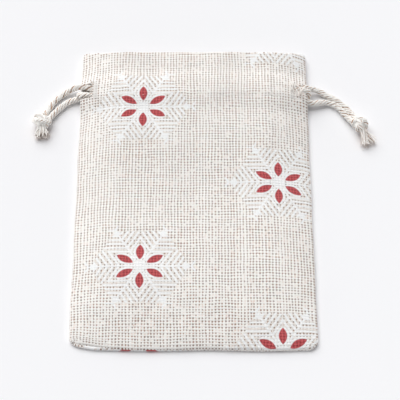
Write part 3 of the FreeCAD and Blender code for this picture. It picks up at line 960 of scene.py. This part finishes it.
def make_back_right_cloth():
    """The right half of the back, rolled up at the side and the bottom into the seams."""
    centre = HALF_WIDE - ROLL_R - ROLL_INSIDE
    flat_x = spaced(0.0, centre, BACK_STEP)
    turns = np.radians(np.linspace(-75, 120, 9))
    x = np.concatenate([flat_x, centre + ROLL_R * np.cos(turns)])
    u = np.concatenate([flat_x, centre + ROLL_R * (turns + np.pi / 2)])
    z_side = np.concatenate([np.zeros(len(flat_x)), ROLL_R + ROLL_R * np.sin(turns)])
    y_back, z_back, v_back = back_rows()
    z = CLOTH / 2 + np.maximum(z_back[:, None] - CLOTH / 2, z_side[None, :])
    points = grid(x[None, :], y_back[:, None], z)
    uvs = grid(*back_laid(u[None, :], v_back[:, None]))
    cloth = Grids()
    cloth.add(round_corner(points), uvs, beneath_cords, flip=True)
    cloth.add(*back_hem(flat_x), outside_slot, flip=True)
    return cloth.build("cloth_back_right_half", COTTON)


# --- yarns, threads and cords -------------------------------------------------
def distances(path):
    """Each point's distance from the first, along the path."""
    return np.concatenate([[0], np.cumsum(np.linalg.norm(np.diff(path, axis=0), axis=1))])


def resample(path, step):
    """The path's points, step apart, with their distance along it."""
    lengths = distances(path)
    count = max(3, int(lengths[-1] / step))
    s = np.linspace(0, lengths[-1], count)
    return np.stack([np.interp(s, lengths, path[:, k]) for k in range(3)], axis=1), s


def frames_along(path):
    """Two directions across the path at each of its points, which don't spin about it."""
    tangent = np.gradient(path, axis=0)
    tangent /= np.linalg.norm(tangent, axis=1)[:, None] + 1e-12
    first = np.cross(tangent[0], (0, 0, 1.0))
    if np.linalg.norm(first) < 0.1:
        first = np.cross(tangent[0], (0, 1.0, 0))
    across = [first / np.linalg.norm(first)]
    for t in tangent[1:]:
        a = across[-1] - t * (across[-1] @ t)
        across.append(a / np.linalg.norm(a))
    across = np.array(across)
    return across, np.cross(tangent, across)


FULL_TURN = 2 * math.pi / 0.99  # a little over, so that a whole turn stays below the next strand's number


def add_tube(grids, path, radius, sides, strand=0, s=None, axis=None):
    """A tube round a path; radius may change along it. UV is (length, strand + turn). Shade is high
    on the side away from the axis, which is the cord's own path, or else on the upper side."""
    if s is None:
        s = distances(path)
    a, b = frames_along(path)
    turn = np.linspace(0, 2 * np.pi, sides + 1)[None, :, None]
    radius = np.broadcast_to(np.asarray(radius, float), (len(path),))[:, None, None]
    rings = path[:, None] + radius * (a[:, None] * np.cos(turn) + b[:, None] * np.sin(turn))
    uvs = grid(s[:, None], strand + turn[..., 0] / FULL_TURN)
    if axis is None:
        shade = 0.72 + 0.28 * (rings[..., 2] - path[:, None, 2]) / np.maximum(radius[..., 0], 1e-6)
    else:
        off = np.linalg.norm(rings - axis[:, None], axis=2) - np.linalg.norm(path - axis, axis=1)[:, None]
        shade = 0.5 + 0.5 * off / radius[..., 0]
    grids.add(rings, uvs, shade=shade)
    for end, at in ((0, path[0]), (-1, path[-1])):
        cap = np.stack([np.repeat(at[None], sides + 1, axis=0), rings[end]])
        cap_uv = np.stack([uvs[end], uvs[end]])
        grids.add(cap, cap_uv, flip=end == -1)


def spline_path(points):
    """Points along the NURBS spline that has these control points, in millimetres."""
    curve = bpy.data.curves.new("route", "CURVE")
    curve.dimensions = "3D"
    spline = curve.splines.new("NURBS")
    spline.points.add(len(points) - 1)
    for place, point in zip(spline.points, points):
        place.co = (point[0] * MM, point[1] * MM, point[2] * MM, 1)
    spline.order_u = 3
    spline.use_endpoint_u = True
    spline.resolution_u = 16
    route = bpy.data.objects.new("route", curve)
    mesh = bpy.data.meshes.new_from_object(route)
    path = np.array([v.co for v in mesh.vertices]) / MM
    bpy.data.objects.remove(route)
    bpy.data.curves.remove(curve)
    bpy.data.meshes.remove(mesh)
    return path


# the CAD tube is the cord pulled tight; its outer yarns lie a little looser
YARN_OUT = 0.86
YARN_R = 0.5
YARN_SIDES = 8
CORD_YARNS = 5
CORD_PITCH = 9.0
CORD_STEP = 0.2
IN_CASING_STEP = 0.45
FUZZ_HAIRS = 120
FUZZ_REACH = 1.2
FUZZ_R = 0.045


def add_twisted_cord(grids, path, step=CORD_STEP, pitch=CORD_PITCH, seed=0, size=1.0):
    """Loosely twisted yarns round a path, each of its own thickness."""
    local = np.random.default_rng(seed)
    path, s = resample(path, step)
    a, b = frames_along(path)
    wobble = 1 + 0.04 * np.sin(s * 0.9 + local.uniform(0, 6))
    add_tube(grids, path, 0.7 * YARN_OUT * size, YARN_SIDES, 0, s)
    for yarn in range(CORD_YARNS):
        sway = local.uniform(-0.22, 0.22) + 0.12 * np.sin(s * local.uniform(0.5, 1.2) + local.uniform(0, 6))
        turn = 2 * np.pi * (yarn / CORD_YARNS - s / pitch) + sway
        loose = 1 + 0.09 * np.sin(s * local.uniform(0.8, 1.7) + local.uniform(0, 6))
        away = YARN_OUT * size * wobble * loose
        centre = path + (a * np.cos(turn)[:, None] + b * np.sin(turn)[:, None]) * away[:, None]
        thick = YARN_R * size * local.uniform(0.88, 1.08) * (1 + 0.1 * np.sin(s * 2.9 + local.uniform(0, 6)))
        add_tube(grids, centre, thick, YARN_SIDES, yarn + 1, s, path)


def add_fuzz(grids, path, seed):
    """Short stray fibres standing off a path."""
    local = np.random.default_rng(seed)
    path, _ = resample(path, 0.5)
    a, b = frames_along(path)
    for k in range(FUZZ_HAIRS):
        at = local.integers(0, len(path))
        turn = local.uniform(0, 2 * np.pi)
        out = a[at] * math.cos(turn) + b[at] * math.sin(turn)
        lean = local.normal(0, 0.6, 3)
        start = path[at] + out * CORD_D * 0.4
        t = np.linspace(0, 1, 5)[:, None]
        bend = local.normal(0, 0.35, 3)
        hair = start + (out + lean * 0.7) * t * local.uniform(0.4, FUZZ_REACH) + bend * t * t
        hair[:, 2] = np.maximum(hair[:, 2], 0.1)
        add_tube(grids, hair, FUZZ_R * np.linspace(1, 0.4, 5), 3, 100 + k)


# --- the drawstrings' routes --------------------------------------------------
# The tails' points start from the CAD's and were moved by a few millimetres, to lie as in the photo.
LEFT, RIGHT = -1, 1
LEFT_FRONT_TAIL = [
    (-47.4, 50.6, 5.3), (-51.2, 51.9, 3.6), (-54.9, 51.4, 1.9), (-58.4, 49.0, 1.35),
    (-61.4, 46.4, 1.35), (-63.6, 42.8, 1.4), (-65.7, 38.2, 2.3),
]
LEFT_BACK_TAIL = [
    (-48.2, 47.6, 1.55), (-52.2, 46.7, 1.35), (-56.0, 45.2, 1.35), (-59.3, 42.3, 1.35),
    (-61.9, 39.0, 1.5), (-64.0, 35.9, 2.1),
]
RIGHT_BACK_TAIL = [
    (46.8, 50.8, 6.1), (51.8, 51.2, 3.1), (55.4, 50.9, 1.7), (58.6, 49.0, 1.35),
    (62.4, 46.8, 1.35), (65.9, 44.0, 1.35), (68.7, 40.4, 1.5), (71.6, 35.6, 2.3),
]
RIGHT_FRONT_TAIL = [
    (47.6, 45.7, 4.2), (51.3, 43.9, 2.6), (55.2, 44.6, 2.2), (59.2, 45.2, 1.35),
    (62.8, 43.6, 1.35), (65.6, 40.6, 1.35), (69.2, 34.9, 2.2),
]
# each tail's length from the slot to the knot, front and back, measured in the photo
LEFT_TAILS_LONG = (36.1, 33.7)
RIGHT_TAILS_LONG = (36.3, 42.3)
FRONT_PLACES = [-43, -39, -35, -31, -26.5, -21, -14, -7, 0, 7, 14, 21, 26.5, 31, 35, 39, 42.5]
BACK_PLACES = [43, 38, 30, 20, 10, 0, -10, -20, -30, -38, -43]


def bowed(x, y, away):
    return y + away * BOW * (1 - (x / 43) ** 2)


def front_run(side):
    y, away, highest = (HIGH_Y, 1, LEFT_RUN_Z) if side == LEFT else (LOW_Y, -1, RIGHT_RUN_Z)
    return [(-side * x, bowed(x, y, away), min(front_channel_z(-side * x), highest)) for x in FRONT_PLACES]


def back_run(side):
    y, away = (LOW_Y, -1) if side == LEFT else (HIGH_Y, 1)
    return [(-side * x, bowed(x, y, away), BACK_CHANNEL_Z) for x in BACK_PLACES]


def halfway(a, b):
    return tuple((p + q) / 2 for p, q in zip(a, b))


def tail_route(run, tail):
    """From inside the channel out to the knot; run starts at the channel's end."""
    return [halfway(run[1], run[2]), run[1], run[0], *tail]


def side_loop(side, front_y, back_y):
    """The turn round the edge of the sack, at the side away from the tails."""
    z0 = front_channel_z(-side * SLOT_X) - 0.3
    radius = math.hypot(z0 - BACK_CHANNEL_Z, front_y - back_y) / 2
    reach = radius * math.tan(math.pi / 8)
    centre_x = 48.4
    points = []
    for out, along in ((reach, 1), (radius, reach / radius), (radius, -reach / radius), (reach, -1)):
        share = 0.5 - along / 2
        y = front_y + (back_y - front_y) * share
        z = z0 + (BACK_CHANNEL_Z - z0) * share
        points.append((-side * (centre_x + out), y, z))
    return points


# --- putting pieces on the frame ----------------------------------------------
BLEND_REACH = 39.5
BLEND_WAY = (0.9417, 0.3363)  # square to the line from the mouth's middle to a bottom corner


def bend_with(obj, side):
    """obj is on one half of the sack and follows the drawstring that pulls that half in."""
    puller = "left_drawstring" if side == RIGHT else "right_drawstring"
    end_x = side * BLEND_WAY[0] * BLEND_REACH * MM
    end_y = (MOUTH_Y + BLEND_WAY[1] * BLEND_REACH) * MM
    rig.blend(obj, "sack", puller, start=(0, MOUTH_Y * MM, 0), end=(end_x, end_y, 0))
    return obj


def stand_for(obj, slot, *nodes):
    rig.replaces(obj, *nodes)
    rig.slot(obj, slot)
    return obj


# --- the drawstrings ----------------------------------------------------------
def build_cord_piece(grids, name, body, node):
    piece = grids.build(name, CORD_YARN)
    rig.ride(piece, body)
    return stand_for(piece, "cord", node)


def make_strand(name, route, body, node, seed, step=CORD_STEP, fuzzy=True):
    """A stretch of drawstring along a route. Gives the piece and its path."""
    path = spline_path(route)
    grids = Grids()
    add_twisted_cord(grids, path, step=step, seed=seed)
    if fuzzy:
        add_fuzz(grids, path, seed + 50)
    return build_cord_piece(grids, name, body, node), path


KNOT_STRAND_R = 1.0
KNOT_PITCH = 5.6  # the wraps are twisted tighter than the cord
KNOT_SIZE = 0.8  # and thinner
# normal of each wrap's plane, its shift along it, how far out it lies
KNOT_WRAPS = [
    ((0.95, 0.25, 0.10), 0.25, 0.94),
    ((0.90, -0.35, 0.20), -0.35, 0.96),
    ((0.45, 0.85, 0.25), 0.10, 1.04),
    ((0.50, -0.80, 0.35), -0.10, 1.08),
]


def make_knot(name, centre, sizes, turn, body, node, seed):
    """Two strands wrapped over each other into a stopper knot."""
    half = np.array(sizes) / 2 - KNOT_STRAND_R
    turn = math.radians(turn)
    spin = np.array([[math.cos(turn), -math.sin(turn), 0], [math.sin(turn), math.cos(turn), 0], [0, 0, 1]])
    grids = Grids()
    t = np.linspace(0, 2 * np.pi, 80)[:, None]
    for k, (normal, shift, out) in enumerate(KNOT_WRAPS):
        normal = np.array(normal) / np.linalg.norm(normal)
        e1 = np.cross(normal, (0.1, 0.2, 1.0))
        e1 /= np.linalg.norm(e1)
        e2 = np.cross(normal, e1)
        ring = e1 * np.cos(t) + e2 * np.sin(t) + normal * shift
        ring /= np.linalg.norm(ring, axis=1)[:, None]
        ring *= out * (1 + 0.09 * np.sin(2 * t + k * 1.6))
        path = (ring * half) @ spin.T + np.array(centre)
        add_twisted_cord(grids, path, pitch=KNOT_PITCH, seed=seed + k, size=KNOT_SIZE)
    # a core, so that no gap shows through between the wraps
    lat = np.linspace(0.05, np.pi - 0.05, 12)[:, None]
    lon = np.linspace(0, 2 * np.pi, 25)[None, :]
    core = grid(np.cos(lat), np.sin(lat) * np.cos(lon), np.sin(lat) * np.sin(lon))
    core = (core * half * 0.95) @ spin.T + np.array(centre)
    grids.add(core, grid(lat * 2, lon * 2))
    return build_cord_piece(grids, name, body, node)


THICK_YARNS, FINE_YARNS = 20, 22


def make_tassel(name, start, end, half_wide, half_high, over, body, node, seed):
    """Frayed ends that spread from the knot and come down on the surface."""
    local = np.random.default_rng(seed)
    start, end = np.array(start), np.array(end)
    way = end - start
    long = np.linalg.norm(way)
    way /= long
    side = np.cross((0, 0, 1.0), way)
    side /= np.linalg.norm(side)
    grids = Grids()
    # yarns that start behind the knot and pass over it
    t = np.linspace(0, 1, 24)[:, None]
    for k in range(over):
        share = (k + local.uniform(0, 1)) / over * 2 - 1
        deep = local.uniform(0, 1)
        ends = np.array([2.4, 4.7 - 0.6 * deep, 1.6, half_wide]) * share + local.normal(0, 0.35, 4)
        reach = long * local.uniform(0.72, 1.0)
        stops = np.array([0.0, 0.30, 0.58, 1.0])
        across = np.interp(t[:, 0], stops, ends)
        across = np.convolve(np.pad(across, 2, mode="edge"), np.ones(5) / 5, "valid")[:, None]
        top = start[2] + 2.6 - 0.13 * share * share * 9 - 0.5 * deep
        rest = 0.35 + local.uniform(0.2, 1) * half_high * 1.8
        low = 1.0 + (top - 1.0) * np.sin(np.clip(t / 0.32, 0, 1) * np.pi / 2)
        height = low + (rest - low) * smooth((t - 0.42) / 0.4)
        behind = 3.7 * math.sqrt(1 - 0.85 * min(share * share, 1.0))
        path = start + way * (-behind + (reach + behind) * t) + side * across
        path[:, 2] = np.maximum(height[:, 0], 0.35)
        add_tube(grids, path, local.uniform(0.2, 0.32), 8, k)
    # thick yarns that spread from the knot, then fine ones among them
    t = np.linspace(0.12, 1, 14)[:, None]
    for k in range(THICK_YARNS + FINE_YARNS):
        is_fine = k >= THICK_YARNS
        reach = long * local.uniform(0.80, 1.06 if is_fine else 0.98)
        spread = local.uniform(-1, 1) * half_wide * (1.12 if is_fine else 0.95)
        neck = local.uniform(-1, 1) * 1.5
        rest = 0.3 + local.uniform(0, 1) ** 1.5 * half_high * 1.7
        neck_z = start[2] + local.uniform(-1, 1) * 1.6
        phase, wave = local.uniform(0, 6.28), local.uniform(0.2, 0.8)
        across = neck + (spread - neck) * t ** 1.1 + wave * np.sin(t * 5 + phase) * t
        height = neck_z + (rest - neck_z) * smooth(t * 1.1) + 0.5 * np.sin(t * np.pi) * local.uniform(0, 1)
        path = start + way * reach * t + side * across
        path[:, 2] = np.maximum(height[:, 0], 0.35)
        radius = local.uniform(0.07, 0.1) if is_fine else local.uniform(0.28, 0.4)
        add_tube(grids, path, radius * np.linspace(1, 0.8, len(t)), 4 if is_fine else 8, 50 + k)
    return build_cord_piece(grids, name, body, node)


def make_drawstring(name, side, front_tail, back_tail, front_long, back_long, knot, tassel, seed):
    body = name + "_drawstring"
    front, back = front_run(side), back_run(side)
    loop = side_loop(side, front[0][1], back[0][1])
    front_route = tail_route(front, front_tail)
    back_route = tail_route(back[::-1], back_tail)
    casing_route = [front_route[0], *front[2:], *loop, *back[:-2], back_route[0]]
    node = name + "_cord_"
    in_casing = name + "_string_in_casing"
    make_strand(in_casing, casing_route, body, node + "in_casing", seed, IN_CASING_STEP, False)
    strands = [
        make_strand(name + "_string_front_end", front_route, body, node + "front_tail", seed + 1),
        make_strand(name + "_string_back_end", back_route, body, node + "back_tail", seed + 2),
    ]
    knot = make_knot(name + "_string_knot", *knot, body, node + "knot", seed + 10)
    tassel = make_tassel(name + "_string_tassel", *tassel, body, node + "tassel", seed + 20)
    for (strand, path), route, long in zip(strands, (front_route, back_route), (front_long, back_long)):
        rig.cord(
            strand,
            exit=tuple(c * MM for c in route[0]),
            length=long * MM,
            diameter=CORD_D * MM,
            far_end="knot",
            stiffness="limp",
            lay="loose",
            path=(path * MM).tolist(),
            with_pieces=[knot, tassel] if strand is strands[0][0] else [],
        )


# --- stitching ----------------------------------------------------------------
STITCH_PITCH = 2.6
STITCH_LENGTH = 1.9
STITCH_DIPS = ((0.0, -0.3), (0.2, -0.03), (0.5, 0.03), (0.8, -0.03), (1.0, -0.3))  # share of length, height
STITCH_SUNK = 0.13  # the front's thread lies deep between the coarse yarns
# the loose yarns across each slot: distance from the middle, upper and lower end, how far they stand off
RIGHT_SLOT_YARNS = [
    (42.6, 51.0, 46.6, 0.5),
    (43.6, 52.0, 45.8, 0.7),
    (44.6, 50.6, 45.0, 0.8),
    (46.2, 49.4, 44.6, 0.8),
    (47.6, 49.2, 44.8, 0.7),
]
LEFT_SLOT_YARNS = [(45.0, 52.1, 50.2, 0.5)]
SLOT_HAIRS = 26


def add_stitch(grids, points, k):
    add_tube(grids, np.array(points, float), THREAD_D / 2, 6, k)


def front_surface(x, y):
    return float(front_mid(np.float64(x), np.float64(y))) + CLOTH / 2


def make_casing_stitches(side, side_name):
    """Rows that close the channel, on the front and through the back's hem."""
    grids = Grids()
    k = 0
    for y in (STITCH_LOW_Y, STITCH_HIGH_Y):
        for x0 in np.arange(0.35, SLOT_X - 3.5, STITCH_PITCH):
            lean = rng.normal(0, 0.07, 2)
            front, back = [], []
            for share, lift in STITCH_DIPS:
                x = side * (x0 + STITCH_LENGTH * share)
                at_y = y + lean[0] + lean[1] * share
                front.append((x, at_y, front_surface(x, at_y) + lift - STITCH_SUNK))
                back.append((x, at_y, 2 * CLOTH + LAYER_GAP + CLOTH / 2 + lift))
            add_stitch(grids, front, k)
            add_stitch(grids, back, k + 1)
            k += 2
    stitches = grids.build(side_name + "_half_casing_stitches", SEWING)
    bend_with(stitches, side)
    nodes = [f"{face}_casing_{row}_stitching" for face in ("front", "back") for row in ("lower", "upper")]
    return stand_for(stitches, "thread", *nodes)


def make_bar_tacks(side, side_name):
    """Close threads that bind the ends of the channel."""
    grids = Grids()
    lift = 2 * CLOTH + LAYER_GAP + 0.25
    for k in range(4):
        x = side * (SLOT_X - 0.5 - 0.45 * k)
        front, back = [], []
        for off in np.linspace(-4.4, 4.4, 15):
            y = CASING_Y + off
            front.append((x + 0.05 * math.sin(3 * off), y, front_surface(x, y) + 0.08))
            back.append((x, y, lift + (CHANNEL_CLEAR - LAYER_GAP) * float(channel(y))))
        add_stitch(grids, front, 2 * k)
        add_stitch(grids, back, 2 * k + 1)
    tacks = grids.build(side_name + "_bar_tacks", SEWING)
    bend_with(tacks, side)
    return stand_for(tacks, "thread", side_name + "_front_bar_tack", side_name + "_back_bar_tack")


def make_frayed_yarns(side, side_name):
    """Loose white yarns that cross the slot where the cord comes out, and short hairs round it."""
    grids = Grids()
    spans = RIGHT_SLOT_YARNS if side == RIGHT else LEFT_SLOT_YARNS
    for k, (x, top, low, lift) in enumerate(spans):
        t = np.linspace(0, 1, 16)
        y = top + (low - top) * t
        xs = side * (x + 0.5 * np.sin(t * 4 + k * 2.1) + 0.3 * t)
        z_top, z_low = front_surface(side * x, top), front_surface(side * x, low)
        z = z_top + (z_low - z_top) * t + 0.25 + lift * np.sin(t * np.pi)
        add_tube(grids, np.stack([xs, y, z], axis=1), 0.24 + 0.04 * np.sin(t * 9 + k), 6, k)
    for k in range(SLOT_HAIRS):
        y = rng.uniform(SLOT_LOW_Y - 0.6, SLOT_HIGH_Y + 0.4)
        x = side * rng.uniform(SLOT_X - 0.8, 49.4)
        z = front_surface(x, STITCH_LOW_Y if y < CASING_Y else STITCH_HIGH_Y) + 0.1
        y = SLOT_LOW_Y if y < CASING_Y else SLOT_HIGH_Y - 0.4
        way = rng.normal(0, 0.6, 3) + np.array([0.3 * side, 0.9 if y < CASING_Y else -0.9, 0.3])
        t = np.linspace(0, 1, 6)[:, None]
        path = np.array([x, y, z]) + way * t + rng.normal(0, 0.4, 3) * t * t
        add_tube(grids, path, 0.06 * np.linspace(1, 0.5, 6), 3, 40 + k)
    frayed = grids.build(side_name + "_frayed_yarns", CORD_YARN)
    bend_with(frayed, side)
    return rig.slot(frayed, "thread")


SEAM_WIDTH = 5.3
SEAM_X = 48.9
SEAM_Y = -68.4
SEAM_TOP_Y = 42.2
SEAM_BOTTOM_Y = -62.5
SEAM_HALF_X = 45.5
SEAM_Z = CLOTH + LAYER_GAP + 0.2
SEAM_LAYER = 0.44  # from one cut edge up to the next
SEAM_CLOTH = 0.34  # thickness of the cut edges
OVERLOCK_PITCH = 1.7
# one overlock loop: along the seam, in from its edge, height
OVERLOCK_LOOP = [
    (0.0, 2.3, 0.0), (0.5, 3.6, 0.12), (1.0, 5.1, 0.0), (1.35, 5.55, -0.4), (1.5, 4.2, 0.05), (1.7, 2.3, 0.0),
]
SEAM_DIPS = ((0.0, -0.2), (0.25, 0.03), (0.75, 0.03), (1.0, -0.2))
SEAM_ROW_IN = 0.8  # how far in the row of stitches lies


def right_seam_place(along, inward):
    return SEAM_X - inward, along


def bottom_seam_place(along, inward):
    return along, SEAM_Y + inward


def make_seam(name, place, first, last, upright):
    """The seam inside: two cut edges laid over, with overlock threads and a row of stitches."""
    cloth, overlock, row = Grids(), Grids(), Grids()
    along = spaced(first, last, 0.9)
    inward = np.linspace(0, SEAM_WIDTH, 9)
    for layer in range(2):
        a, d = np.meshgrid(along, inward, indexing="ij")
        x, y = place(a, d - 0.25 * layer)
        z = SEAM_Z + SEAM_LAYER * layer + 0.05 * np.sin(a * 0.9 + layer) * d / SEAM_WIDTH
        points = grid(x, y, z)
        cloth.add(points, grid(back_u(x), y - 3 * layer), flip=upright)
    top = SEAM_Z + SEAM_LAYER + THREAD_D
    for k, at in enumerate(np.arange(first + 0.4, last - 2.0, OVERLOCK_PITCH)):
        points = [(*place(at + a, d), top + lift) for a, d, lift in OVERLOCK_LOOP]
        add_stitch(overlock, points, k)
    for k, at in enumerate(np.arange(first + 0.4, last - STITCH_LENGTH, STITCH_PITCH)):
        points = [(*place(at + STITCH_LENGTH * a, SEAM_ROW_IN), top + lift) for a, lift in SEAM_DIPS]
        add_stitch(row, points, k)
    turned = cloth.build(name + "_seam_turned_in", COTTON)
    thicken(turned, SEAM_CLOTH)
    pieces = [
        stand_for(turned, "cloth", name + "_seam_allowance"),
        stand_for(overlock.build(name + "_seam_overlock", SEWING), "thread", name + "_overlock_thread"),
        stand_for(row.build(name + "_seam_stitches", SEWING), "thread", name + "_seam_stitching"),
    ]
    for piece in pieces:
        if name == "right":
            bend_with(piece, RIGHT)
        else:
            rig.ride(piece, "sack")
    return pieces


# --- build everything ---------------------------------------------------------
FLOOR_HALF = 2500
FLOOR_Z = -0.1


def make_floor():
    grids = Grids()
    places = np.linspace(-FLOOR_HALF, FLOOR_HALF, 11)
    points = grid(places[None, :], places[:, None], FLOOR_Z)
    grids.add(points, points[..., :2] * MM)
    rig.stage(grids.build("floor", floor_material()))


def main():
    add_camera()
    add_world()
    add_key_light()
    make_floor()

    left = make_left_cloth()
    front = make_front_right_cloth()
    back = make_back_right_cloth()
    for cloth, side in ((left, LEFT), (front, RIGHT), (back, RIGHT)):
        thicken(cloth, CLOTH, COTTON_INSIDE)
        bend_with(cloth, side)
        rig.slot(cloth, "cloth")
    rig.replaces(left, "front_panel", "back_panel")
    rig.replaces(front, "front_panel")
    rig.replaces(back, "back_panel")
    right_seam = make_seam("right", right_seam_place, SEAM_BOTTOM_Y, SEAM_TOP_Y, True)
    bottom_seam = make_seam("bottom", bottom_seam_place, -SEAM_HALF_X, SEAM_HALF_X, False)
    stitches = {}
    for side, side_name in ((LEFT, "left"), (RIGHT, "right")):
        stitches[side] = [
            make_casing_stitches(side, side_name),
            make_bar_tacks(side, side_name),
            make_frayed_yarns(side, side_name),
        ]
    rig.sheet(left, flat=(0.102, 0.173), held="folded", rests_on=[back], with_pieces=stitches[LEFT])
    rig.sheet(front, flat=(0.055, 0.173), held="laid", rests_on=[back], with_pieces=stitches[RIGHT])
    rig.sheet(back, flat=(0.056, 0.173), held="laid", with_pieces=right_seam + bottom_seam)

    # each knot's centre, sizes and turn
    left_knot = ((-66.6, 35.0, 2.8), (9.2, 6.2, 5.4), 150)
    right_knot = ((72.6, 33.2, 3.1), (8.2, 7.4, 6.0), -55)
    # each tassel's start, end, half width, half height and number of yarns over the knot
    left_tassel = ((-66.6, 35.0, 2.7), (-66.3, 27.0, 1.9), 3.1, 1.9, 26)
    right_tassel = ((72.8, 32.6, 2.9), (76.9, 23.6, 2.0), 3.7, 2.0, 0)
    left_tails, right_tails = (LEFT_FRONT_TAIL, LEFT_BACK_TAIL), (RIGHT_FRONT_TAIL, RIGHT_BACK_TAIL)
    make_drawstring("left", LEFT, *left_tails, *LEFT_TAILS_LONG, left_knot, left_tassel, 100)
    make_drawstring("right", RIGHT, *right_tails, *RIGHT_TAILS_LONG, right_knot, right_tassel, 300)


main()
bpy.context.scene.view_settings.view_transform = "Standard"
SIZE = {
    "cad": [list(corner) for corner in CAD_BOX],
    "visual": [list(corner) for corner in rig.bounds()],
}
with open("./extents.json", "w") as size_file:
    json.dump(SIZE, size_file, indent=1)
